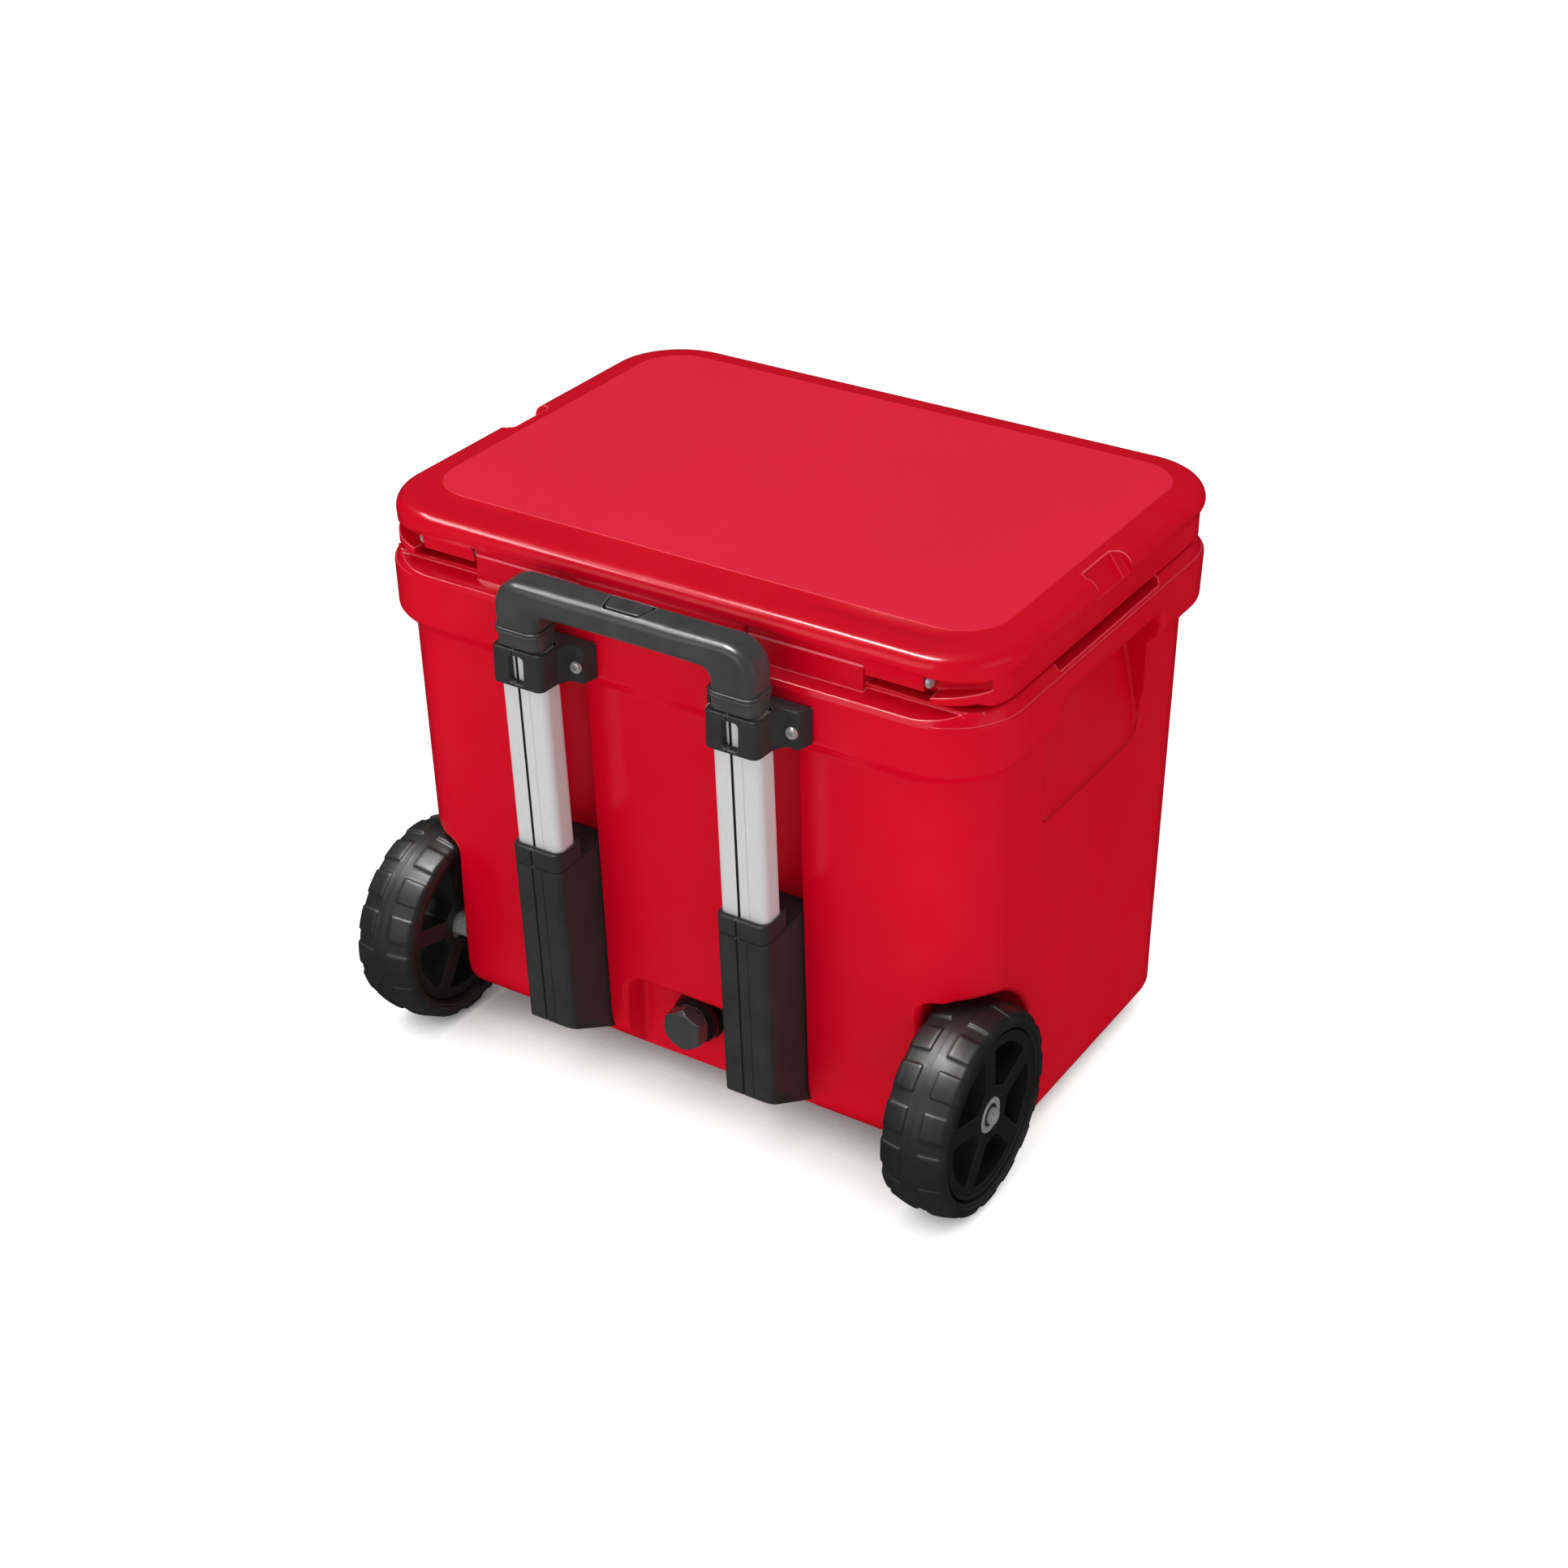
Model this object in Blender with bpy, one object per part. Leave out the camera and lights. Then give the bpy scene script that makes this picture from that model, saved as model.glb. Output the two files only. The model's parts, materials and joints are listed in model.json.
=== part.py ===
"""Wheeled cooler chest with a hinged lid, a two-stage pull handle, two wheels and a drain plug.

Sizes are in millimetres in the chest's own axes: X to the side, +Y to the handle side (rear), +Z up, with
X = 0 and Y = 0 at the middle of the lid and Z = 0 on the floor. body() turns them into metres and moves the
origin to the bottom centre of the whole object.
"""

import math

import bmesh
import bpy
from mathutils import Matrix, Vector

for old in list(bpy.data.objects):
    bpy.data.objects.remove(old, do_unlink=True)

MM = 0.001
GAP = 0.35  # clearance between two pieces that nearly touch
FRAME_Y = 21.9  # Y of the whole object's middle, measured from the middle of the lid

# Lid and collar outlines
LID_HALF_X, LID_FRONT, LID_REAR, LID_CORNER = 305.0, 228.0, 224.5, 72.0
LID_TOP_Z, BULGE_Z, SEAM_Z = 535.5, 522.0, 485.0
SKIRT_HALF_X, SKIRT_FRONT, SKIRT_REAR, SKIRT_CORNER = 298.5, 220.5, 220.5, 62.0
COLLAR_HALF_X, COLLAR_FRONT, COLLAR_REAR, COLLAR_CORNER = 307.5, 227.0, 228.0, 71.0
COLLAR_TOP_Z, COLLAR_LOW_Z = 475.0, 433.0

# Tub
WALL_HALF_X, WALL_FRONT, WALL_REAR, WALL_CORNER, WALL_TOP_Z = 292.0, 211.0, 215.5, 60.0, 415.0
BASE_HALF_X, BASE_FRONT, BASE_REAR, BASE_CORNER, BASE_Z = 291.5, 200.5, 199.0, 56.0, 17.0
CAVITY_FLOOR_Z = 76.0
OPEN_HALF_X, OPEN_FRONT, OPEN_REAR, OPEN_CORNER = 240.0, 178.0, 156.0, 45.0
FLOOR_HALF_X, FLOOR_FRONT, FLOOR_REAR, FLOOR_CORNER = 212.0, 150.0, 132.0, 36.0

# Lid hinge
HINGE_Y, HINGE_Z, HINGE_R = 209.5, 506.5, 11.0
KNUCKLE_IN, KNUCKLE_OUT, LUG_OUT = 83.5, 190.5, 248.0
PIN_R, PIN_IN, PIN_HEAD_R, PIN_HEAD_T = 4.0, 60.0, 7.0, 3.0

# Wheels
AXLE_Y, WHEEL_R, WHEEL_OUT, TYRE_W = 187.0, 96.3, 309.0, 60.0
WELL_R, WELL_X = 104.0, 244.0
RIM_R, TYRE_LIP_R, HUB_R, BEARING_R, AXLE_R = 76.0, 79.0, 23.0, 16.5, 7.5
SPOKES, FIRST_WINDOW = 5, 121.0

# Pull handle. Its tubes lean back a little, and LEAN turns an upright piece to match.
TUBE_X = 105.4
LEAN = math.atan(0.055)
LEAN_Y, LEAN_Z = 249.5, 300.0  # the point on the tubes' centre line that the lean turns about
OUTER_X, OUTER_Y, TUBE_WALL = 46.0, 26.0, 2.0
STAGE_GAP = 0.7
GROOVE_X, GROOVE_W, GROOVE_D = 3.2, 2.4, 1.0
HOUSING_TOP, HOUSING_CAP_H, HOUSING_HALF = 267.5, 18.5, 25.0
HOUSING_REAR = 268.5
GRIP_TOP, GRIP_H, GRIP_DEPTH, GRIP_LEG, GRIP_LIP = 532.0, 31.0, 38.0, 43.0, 482.5
CLAMP_LOW, CLAMP_TOP, CLAMP_BOLT_X, CLAMP_BOLT_Z = 430.5, 465.0, 38.0, 446.0
CLAMP_EAR = 15.5  # thickness of a clamp's ears

CHANNEL_Y, CHANNEL_SIDE = 191.0, 1.5  # the channel in the rear wall that the housing sits in

# Drain
DRAIN_X, DRAIN_Z, DRAIN_FACE = -7.0, 85.0, 178.0
BORE_R = 11.0

# Front latches
LATCH_X, LATCH_W, LATCH_Y, LATCH_Z, LATCH_TOP = 150.0, 62.0, -220.0, 438.0, 519.0


# ---------------------------------------------------------------- materials
def material(name, colour, roughness, metallic=0.0):
    made = bpy.data.materials.new(name)
    made.use_nodes = True
    shader = made.node_tree.nodes["Principled BSDF"]
    shader.inputs["Base Color"].default_value = (*colour, 1.0)
    shader.inputs["Roughness"].default_value = roughness
    shader.inputs["Metallic"].default_value = metallic
    return made


RED = material("red_polyethylene", (0.58, 0.004, 0.022), 0.28)
BLACK = material("black_plastic", (0.018, 0.018, 0.018), 0.42)
GRIP = material("charcoal_grip", (0.045, 0.045, 0.045), 0.6)
RUBBER = material("black_rubber", (0.012, 0.012, 0.012), 0.75)
ALUMINIUM = material("satin_aluminium", (0.62, 0.62, 0.63), 0.34, 1.0)
STEEL = material("zinc_steel", (0.55, 0.55, 0.56), 0.25, 1.0)
SEAL = material("grey_seal", (0.25, 0.25, 0.26), 0.7)


# ---------------------------------------------------------------- outlines
def arc(cx, cy, radius, start, end, steps):
    """Points on an arc, angles in degrees."""
    turn = math.radians(end - start) / steps
    first = math.radians(start)
    return [
        (cx + radius * math.cos(first + turn * i), cy + radius * math.sin(first + turn * i))
        for i in range(steps + 1)
    ]


def rounded_rect(x0, x1, y0, y1, radius, steps=6):
    """Counter-clockwise rectangle with round corners."""
    return (
        arc(x1 - radius, y0 + radius, radius, -90, 0, steps)
        + arc(x1 - radius, y1 - radius, radius, 0, 90, steps)
        + arc(x0 + radius, y1 - radius, radius, 90, 180, steps)
        + arc(x0 + radius, y0 + radius, radius, 180, 270, steps)
    )


def oblong(half_x, front, rear, radius, steps=6):
    return rounded_rect(-half_x, half_x, -front, rear, radius, steps)


def level(outline, z):
    return [Vector((x, y, z)) for x, y in outline]


# ---------------------------------------------------------------- solids, as bmeshes in millimetres
def skin(rings, closed=False):
    """A closed solid through rings of equal length, capped at both ends unless the rings run in a loop."""
    bm = bmesh.new()
    rows = [[bm.verts.new(point) for point in ring] for ring in rings]
    count = len(rows[0])
    pairs = list(zip(rows, rows[1:]))
    if closed:
        pairs.append((rows[-1], rows[0]))
    for low, high in pairs:
        for i in range(count):
            j = (i + 1) % count
            bm.faces.new((low[i], low[j], high[j], high[i]))
    if not closed:
        bm.faces.new(list(reversed(rows[0])))
        bm.faces.new(rows[-1])
    bmesh.ops.recalc_face_normals(bm, faces=bm.faces)
    return bm


def prism(outline, low, high, axis="Z"):
    """A flat outline extruded along an axis. The outline's two numbers are the other two axes in X, Y, Z order."""

    def place(a, b, c):
        return {"X": (c, a, b), "Y": (a, c, b), "Z": (a, b, c)}[axis]

    return skin([[Vector(place(a, b, c)) for a, b in outline] for c in (low, high)])


def box(x0, x1, y0, y1, z0, z1):
    return prism([(x0, y0), (x1, y0), (x1, y1), (x0, y1)], z0, z1)


def turned(profile, centre, axis, steps=32, ring=True):
    """A closed profile of (radius, offset) points turned about an axis through centre. With ring=False the first
    and last points lie on the axis."""
    bm = bmesh.new()
    rows = []
    for k in range(steps):
        angle = 2 * math.pi * k / steps
        c, s = math.cos(angle), math.sin(angle)
        row = []
        for radius, offset in profile:
            if radius == 0 and k:
                row.append(rows[0][len(row)])
                continue
            a, b = radius * c, radius * s
            point = {"X": (offset, a, b), "Y": (a, offset, b), "Z": (a, b, offset)}[axis]
            row.append(bm.verts.new(Vector(point) + Vector(centre)))
        rows.append(row)
    count = len(profile)
    last = count if ring else count - 1
    for k in range(steps):
        here, there = rows[k], rows[(k + 1) % steps]
        for i in range(last):
            j = (i + 1) % count
            corners = [here[i], here[j], there[j], there[i]]
            unique = list(dict.fromkeys(corners))
            if len(unique) > 2:
                bm.faces.new(unique)
    bmesh.ops.recalc_face_normals(bm, faces=bm.faces)
    return bm


def cylinder(radius, low, high, centre, axis, steps=24):
    return turned([(0, low), (radius, low), (radius, high), (0, high)], centre, axis, steps, ring=False)


def mirror_x(bm):
    bmesh.ops.scale(bm, vec=(-1, 1, 1), verts=bm.verts)
    bmesh.ops.reverse_faces(bm, faces=bm.faces)
    return bm


def lean(bm):
    """Turns an upright piece to the pull handle's angle."""
    centre = Vector((0, LEAN_Y, LEAN_Z))
    bmesh.ops.rotate(bm, cent=centre, matrix=Matrix.Rotation(-LEAN, 3, "X"), verts=bm.verts)
    return bm


# ---------------------------------------------------------------- objects
def to_frame(point):
    return Vector((point[0], point[1] - FRAME_Y, point[2])) * MM


def body(name, bm, look, origin=(0.0, FRAME_Y, 0.0), cut=(), join=(), smooth=True):
    """Makes one named object from a millimetre bmesh, with cutters taken out and parts joined."""
    made = as_object(name, bm, origin)
    made.data.materials.append(look)
    for operation, tools in (("UNION", join), ("DIFFERENCE", cut)):
        for tool in tools:
            apply_boolean(made, tool, operation)
    if smooth:
        made.data.shade_smooth()
        made.data.set_sharp_from_angle(angle=math.radians(35))
    return made


def as_object(name, bm, origin=(0.0, FRAME_Y, 0.0)):
    start = to_frame(origin)
    for vert in bm.verts:
        vert.co = to_frame(vert.co) - start
    mesh = bpy.data.meshes.new(name)
    bm.to_mesh(mesh)
    bm.free()
    made = bpy.data.objects.new(name, mesh)
    made.location = start
    bpy.context.scene.collection.objects.link(made)
    return made


def apply_boolean(target, tool, operation):
    """Applies one exact boolean with a millimetre bmesh, then drops the tool."""
    cutter = as_object("cutter", tool)
    step = target.modifiers.new("cut", "BOOLEAN")
    step.operation = operation
    step.solver = "EXACT"
    step.object = cutter
    view = bpy.context.evaluated_depsgraph_get()
    result = bpy.data.meshes.new_from_object(target.evaluated_get(view))
    target.modifiers.clear()
    target.data = result
    bpy.data.objects.remove(cutter, do_unlink=True)


# ---------------------------------------------------------------- tub
def tub_rings():
    """Outside from the base up to the rim, then down the inside to the cavity floor."""
    base, wall = BASE_HALF_X, WALL_HALF_X
    collar_low = (COLLAR_HALF_X - 1, COLLAR_FRONT - 1, COLLAR_REAR - 1, COLLAR_CORNER - 1)
    levels = (
        (BASE_Z, (base - 13, BASE_FRONT - 13, BASE_REAR - 62, BASE_CORNER - 13)),
        (BASE_Z + 4, (base - 4, BASE_FRONT - 4, BASE_REAR - 42, BASE_CORNER - 4)),
        (BASE_Z + 13, (base, BASE_FRONT, BASE_REAR - 26, BASE_CORNER)),
        (BASE_Z + 28, (base, BASE_FRONT, BASE_REAR - 9, BASE_CORNER)),
        (BASE_Z + 52, (base, BASE_FRONT + 1, BASE_REAR, BASE_CORNER)),
        (WALL_TOP_Z, (wall, WALL_FRONT, WALL_REAR, WALL_CORNER)),
        (WALL_TOP_Z + 9, (wall + 7, WALL_FRONT + 7, WALL_REAR + 0.5, WALL_CORNER + 5)),
        (COLLAR_LOW_Z, collar_low),
        (COLLAR_TOP_Z, (COLLAR_HALF_X, COLLAR_FRONT, COLLAR_REAR, COLLAR_CORNER)),
        (SEAM_Z, (SKIRT_HALF_X, SKIRT_FRONT, SKIRT_REAR, SKIRT_CORNER)),
        (SEAM_Z, (OPEN_HALF_X, OPEN_FRONT, OPEN_REAR, OPEN_CORNER)),
        (CAVITY_FLOOR_Z + 14, (FLOOR_HALF_X, FLOOR_FRONT, FLOOR_REAR, FLOOR_CORNER)),
        (CAVITY_FLOOR_Z, (FLOOR_HALF_X - 14, FLOOR_FRONT - 14, FLOOR_REAR - 14, FLOOR_CORNER - 14)),
    )
    return [level(oblong(*size), z) for z, size in levels]


def wheel_well(side):
    """An arch over the wheel, open to the side, the rear and the floor."""
    outline = [(AXLE_Y - WELL_R, -10)] + arc(AXLE_Y, WHEEL_R, WELL_R, 180, 90, 12)
    outline += [(AXLE_Y + 90, WHEEL_R + WELL_R), (AXLE_Y + 90, -10)]
    return prism(outline, *sorted((side * WELL_X, side * 340)), axis="X")


def hand_pocket(side):
    """A grip pocket in the side wall, shallow at the bottom and deep under the collar."""
    low, high, front, rear, corner = 327.0, 450.0, -97.0, 90.0, 16.0
    outline = rounded_rect(front, rear, low, high, corner, 4)
    rings = []
    for deep in (False, True):
        ring = []
        for y, z in outline:
            depth = 3 + 27 * (z - low) / (high - low)
            x = WALL_HALF_X - depth if deep else 330
            ring.append(Vector((side * x, y, z)))
        rings.append(ring)
    return skin(rings)


def tie_slot(side):
    return box(*sorted((side * 284, side * 330)), -92, 96, 478, 500)


def housing_channel(side):
    """The upright channel in the rear wall that takes the handle housing and its tube."""
    half = HOUSING_HALF + CHANNEL_SIDE
    outline = rounded_rect(side * TUBE_X - half, side * TUBE_X + half, CHANNEL_Y, 300, 5, 3)
    return lean(prism(outline, -30, 450))


def drain_recess():
    outline = rounded_rect(-64, 60, -40, 113, 18, 4)
    return prism(outline, DRAIN_FACE, 260, axis="Y")


def knuckle_outline(radius, low, back):
    """The side view of a hinge knuckle: round over the pin, with a leg down to the shelf."""
    start, end = (HINGE_Y + radius, low), (back, low)
    return [start] + arc(HINGE_Y, HINGE_Z, radius, 0, 180, 8) + [end]


def body_knuckle(side):
    outline = knuckle_outline(HINGE_R, SEAM_Z - 10, HINGE_Y - HINGE_R)
    return prism(outline, *sorted((side * KNUCKLE_IN, side * KNUCKLE_OUT)), axis="X")


def latch_recess(side):
    x = side * LATCH_X
    return box(x - LATCH_W / 2 - 2, x + LATCH_W / 2 + 2, -240, -210, 410, 452)


def tub_shell():
    wells = [wheel_well(side) for side in (-1, 1)]
    pockets = [hand_pocket(side) for side in (-1, 1)]
    slots = [tie_slot(side) for side in (-1, 1)]
    channels = [housing_channel(side) for side in (-1, 1)]
    latches = [latch_recess(side) for side in (-1, 1)]
    bores = [cylinder(PIN_R + GAP, -260, 260, (0, HINGE_Y, HINGE_Z), "X", 16)]
    for side in (-1, 1):
        axle_centre = (0, AXLE_Y, WHEEL_R)
        bores.append(cylinder(AXLE_R + GAP, *sorted((side * 215, side * 260)), axle_centre, "X", 24))
        x = side * LATCH_X
        reach = LATCH_W / 2 + 6
        bores.append(cylinder(2.5 + GAP, x - reach, x + reach, (0, LATCH_Y, LATCH_Z), "X", 12))
    bores.append(cylinder(BORE_R + GAP, 100, 220, (DRAIN_X, 0, DRAIN_Z), "Y", 24))
    return body(
        "tub_shell",
        skin(tub_rings()),
        RED,
        join=[body_knuckle(side) for side in (-1, 1)],
        cut=wells + pockets + slots + channels + [drain_recess()] + latches + bores,
    )


# ---------------------------------------------------------------- lid
def lid_shell():
    """The lid's outer skirt and bulge, with a plug below it that fills the mouth of the tub."""
    x, front, rear, corner = LID_HALF_X, LID_FRONT, LID_REAR, LID_CORNER
    skirt = (SKIRT_HALF_X, SKIRT_FRONT, SKIRT_REAR, SKIRT_CORNER)
    steps = (
        (SEAM_Z + GAP, (SKIRT_HALF_X - 1, SKIRT_FRONT - 1, HINGE_Y + 3, SKIRT_CORNER - 2)),
        (SEAM_Z + 3.6, skirt),
        (BULGE_Z - 15, skirt),
        (BULGE_Z - 8, (x - 3, front - 3, rear - 1.5, corner - 4)),
        (BULGE_Z, (x, front, rear, corner)),
        (LID_TOP_Z - 6, (x - 1.5, front - 1.5, rear - 2, corner - 1.5)),
        (LID_TOP_Z - 2, (x - 6, front - 6, rear - 8, corner - 6)),
        (LID_TOP_Z, (x - 16, front - 16, rear - 22, corner - 15)),
    )
    plug_top = level(oblong(OPEN_HALF_X - 3, OPEN_FRONT - 3, OPEN_REAR - 3, OPEN_CORNER - 3), SEAM_Z + GAP)
    plug_low = level(oblong(OPEN_HALF_X - 8, OPEN_FRONT - 8, OPEN_REAR - 8, OPEN_CORNER - 8), SEAM_Z - 18)
    rings = [plug_low, plug_top] + [level(oblong(*size), z) for z, size in steps]
    cuts = []
    for side in (-1, 1):
        cuts += knuckle_room(side)
        cuts.append(pin_pocket(side))
        cuts.append(lid_notch(side))
        cuts.append(latch_keeper_notch(side))
    cuts.append(cylinder(PIN_R + GAP, -250, 250, (0, HINGE_Y, HINGE_Z), "X", 16))
    cuts.append(gasket_ring(0.4))
    return body("lid_shell", skin(rings), RED, origin=(0, HINGE_Y, HINGE_Z), cut=cuts)


def knuckle_room(side):
    """What the lid leaves free around a body knuckle, so that it can swing over it."""
    span = sorted((side * (KNUCKLE_IN - 0.7), side * (KNUCKLE_OUT + 0.7)))
    radius = HINGE_R + 1.2
    around = prism(knuckle_outline(radius, 440, HINGE_Y - radius), *span, axis="X")
    behind = box(*span, HINGE_Y, 260, 440, HINGE_Z + radius)
    return [around, behind]


def pin_pocket(side):
    """The scooped recess in the lid's rear corner that shows the pin's head."""
    outline = [(LUG_OUT, 200), (LUG_OUT, 240), (LUG_OUT + 56, 240), (LUG_OUT + 16, 200)]
    if side < 0:
        outline = [(-x, y) for x, y in reversed(outline)]
    return prism(outline, HINGE_Z - 9, HINGE_Z + 9)


def lid_notch(side):
    """The tie-down scoop in the middle of the lid's side edge."""
    outline = [(LID_HALF_X - 3, 514), (LID_HALF_X + 9, 514), (LID_HALF_X + 9, 547), (LID_HALF_X - 21, 547)]
    outline += [(LID_HALF_X - 20, LID_TOP_Z - 2)]
    if side < 0:
        outline = [(-x, z) for x, z in reversed(outline)]
    return prism(outline, -22, 30, axis="Y")


def latch_keeper_notch(side):
    """The recess in the lid's front skirt behind a latch. The bulge above it runs on unbroken."""
    x = side * LATCH_X
    return box(x - LATCH_W / 2 - 2, x + LATCH_W / 2 + 2, -240, -216, 495, 513)


def gasket_ring(clearance=0.0):
    """A flat seal around the mouth, let into the lid's underside."""
    rings = []
    low, high = SEAM_Z + GAP - 5 * clearance, SEAM_Z + 3.4 + clearance
    for grow, z in ((12, low), (4, low), (4, high), (12, high)):
        grow += clearance if grow > 6 else -clearance
        rings.append(level(oblong(OPEN_HALF_X + grow, OPEN_FRONT + grow, OPEN_REAR + grow, OPEN_CORNER + grow), z))
    return skin(rings, closed=True)


def hinge_pin(side):
    head = LUG_OUT + 0.5
    profile = [(0, PIN_IN), (PIN_R, PIN_IN), (PIN_R, head), (PIN_HEAD_R, head)]
    profile += [(PIN_HEAD_R, head + PIN_HEAD_T - 1), (PIN_HEAD_R - 1.2, head + PIN_HEAD_T), (0, head + PIN_HEAD_T)]
    pin = turned(profile, (0, HINGE_Y, HINGE_Z), "X", 16, ring=False)
    return pin if side > 0 else mirror_x(pin)


# ---------------------------------------------------------------- wheels
def tyre(side):
    inner = WHEEL_OUT - TYRE_W
    low, high = inner, WHEEL_OUT
    bore = RIM_R + GAP
    profile = [
        (bore, low + 6),
        (TYRE_LIP_R, low + 1.5),
        (TYRE_LIP_R + 5, low),
        (WHEEL_R - 4, low + 3),
        (WHEEL_R, low + 10),
        (WHEEL_R, high - 10),
        (WHEEL_R - 4, high - 3),
        (TYRE_LIP_R + 5, high),
        (TYRE_LIP_R, high - 1.5),
        (bore, high - 6),
    ]
    made = turned(profile, (0, AXLE_Y, WHEEL_R), "X", 40)
    return made if side > 0 else mirror_x(made)


def rim(side):
    """A thick disc that carries the tyre, with five windows through it and a hub bored for two bearings."""
    face = WHEEL_OUT - 3.0
    back = WHEEL_OUT - TYRE_W + 7.0
    profile = [
        (BEARING_R + GAP, back),
        (RIM_R, back),
        (RIM_R, face - 1),
        (RIM_R - 1, face),
        (HUB_R, face),
        (BEARING_R + GAP, face),
    ]
    made = turned(profile, (0, AXLE_Y, WHEEL_R), "X", 30)
    windows = [rim_window(math.radians(FIRST_WINDOW + 360 / SPOKES * k)) for k in range(SPOKES)]
    name = "wheel_rim_left" if side > 0 else "wheel_rim_right"
    rim_body = body(name, made, BLACK, origin=(WHEEL_OUT, AXLE_Y, WHEEL_R), cut=windows)
    if side < 0:
        rim_body.data.transform(Matrix.Scale(-1, 4, Vector((1, 0, 0))))
        rim_body.data.flip_normals()
        rim_body.location = to_frame((-WHEEL_OUT, AXLE_Y, WHEEL_R))


def rim_window(angle):
    """A wedge-shaped opening between two parallel-sided spokes, centred on one angle."""
    half = math.pi / SPOKES
    spoke_half = 8.5
    inner, outer = HUB_R + 5.0, RIM_R - 10.0
    points = []
    spread_in = half - math.asin(spoke_half / inner)
    spread_out = half - math.asin(spoke_half / outer)
    for k in range(3):
        points.append((inner, -spread_in + spread_in * k))
    for k in range(5):
        points.append((outer, spread_out - spread_out * k / 2))
    outline = []
    for radius, turn in points:
        outline.append((AXLE_Y + radius * math.cos(angle + turn), WHEEL_R + radius * math.sin(angle + turn)))
    return prism(outline, 240, 320, axis="X")


def bearing(side, inner_x):
    profile = [(AXLE_R + GAP, inner_x), (BEARING_R, inner_x), (BEARING_R, inner_x + 8), (AXLE_R + GAP, inner_x + 8)]
    made = turned(profile, (0, AXLE_Y, WHEEL_R), "X", 20)
    return made if side > 0 else mirror_x(made)


def axle(side):
    tip = WHEEL_OUT + 2.5
    groove = WHEEL_OUT - 5.4
    profile = [
        (0, 220),
        (AXLE_R, 220),
        (AXLE_R, groove),
        (AXLE_R - 1.2, groove),
        (AXLE_R - 1.2, groove + 2.2),
        (AXLE_R, groove + 2.2),
        (AXLE_R, tip - 2),
        (AXLE_R - 2.5, tip),
        (0, tip),
    ]
    made = turned(profile, (0, AXLE_Y, WHEEL_R), "X", 18, ring=False)
    return made if side > 0 else mirror_x(made)


def axle_spacer(side):
    """A sleeve between the tub and the inner bearing."""
    profile = [(AXLE_R + GAP, WELL_X + GAP), (12.0, WELL_X + GAP), (12.0, 259.6), (AXLE_R + GAP, 259.6)]
    made = turned(profile, (0, AXLE_Y, WHEEL_R), "X", 18)
    return made if side > 0 else mirror_x(made)


def axle_clip(side):
    """A C-shaped retaining clip in the axle's groove."""
    x0 = WHEEL_OUT - 5.0
    outline = arc(0, 0, 11.5, -55, 235, 16) + arc(0, 0, AXLE_R - 0.8, 235, -55, 16)
    outline = [(AXLE_Y + a, WHEEL_R + b) for a, b in outline]
    made = prism(outline, x0, x0 + 1.4, axis="X")
    return made if side > 0 else mirror_x(made)


# ---------------------------------------------------------------- pull handle
def tube_outline(side, size_x, size_y, corner, grooved=False):
    """A tube's outline, with the groove that runs down its rear face."""
    cx = side * TUBE_X
    outline = rounded_rect(cx - size_x / 2, cx + size_x / 2, LEAN_Y - size_y / 2, LEAN_Y + size_y / 2, corner, 3)
    if grooved:
        rear = LEAN_Y + size_y / 2
        x = cx + GROOVE_X
        notch = [(x + GROOVE_W / 2, rear), (x + GROOVE_W / 2, rear - GROOVE_D)]
        notch += [(x - GROOVE_W / 2, rear - GROOVE_D), (x - GROOVE_W / 2, rear)]
        at = len(outline) // 2
        outline = outline[:at] + notch + outline[at:]
    return outline


def tube(name, side, inset, low, high, origin=(0.0, FRAME_Y, 0.0), grooved=False):
    """One aluminium tube, inset from the outermost one by a number of millimetres a side."""
    size_x, size_y = OUTER_X - 2 * inset, OUTER_Y - 2 * inset
    corner = max(7.0 - inset, 2.0)
    outer = tube_outline(side, size_x, size_y, corner, grooved)
    bore = tube_outline(side, size_x - 2 * TUBE_WALL, size_y - 2 * TUBE_WALL, max(corner - TUBE_WALL, 1.0))
    solid = lean(prism(outer, low, high))
    return body(name, solid, ALUMINIUM, origin=origin, cut=[lean(prism(bore, low - 5, high + 5))])


def housing(side):
    """The deep black housing that holds the foot of one outer tube, slanted underneath."""
    cx = side * TUBE_X
    top = HOUSING_TOP - HOUSING_CAP_H
    name = "handle_housing_left" if side > 0 else "handle_housing_right"
    outline = rounded_rect(cx - HOUSING_HALF, cx + HOUSING_HALF, CHANNEL_Y + GAP, HOUSING_REAR, 6, 3)
    solid = lean(prism(outline, 24, top))
    slope = prism([(150, 10), (320, 10), (320, 115), (150, 24)], cx - 60, cx + 60, axis="X")
    socket = lean(prism(tube_outline(side, OUTER_X + 0.8, OUTER_Y + 0.8, 7.4), 92, top + 20))
    hollow = lean(box(cx - 20, cx + 20, 150, 230, 100, top - 18))
    return body(name, solid, BLACK, cut=[slope, socket, hollow])


def housing_cap(side):
    """The cap that closes the top of the housing around the tube."""
    cx = side * TUBE_X
    top = HOUSING_TOP - HOUSING_CAP_H
    name = "housing_cap_left" if side > 0 else "housing_cap_right"
    outline = rounded_rect(cx - HOUSING_HALF, cx + HOUSING_HALF, LEAN_Y - 17, HOUSING_REAR, 6, 3)
    solid = lean(prism(outline, top + GAP, HOUSING_TOP))
    outline = tube_outline(side, OUTER_X + 0.8, OUTER_Y + 0.8, 7.4)
    return body(name, solid, BLACK, cut=[lean(prism(outline, top - 20, HOUSING_TOP + 20))])


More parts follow.
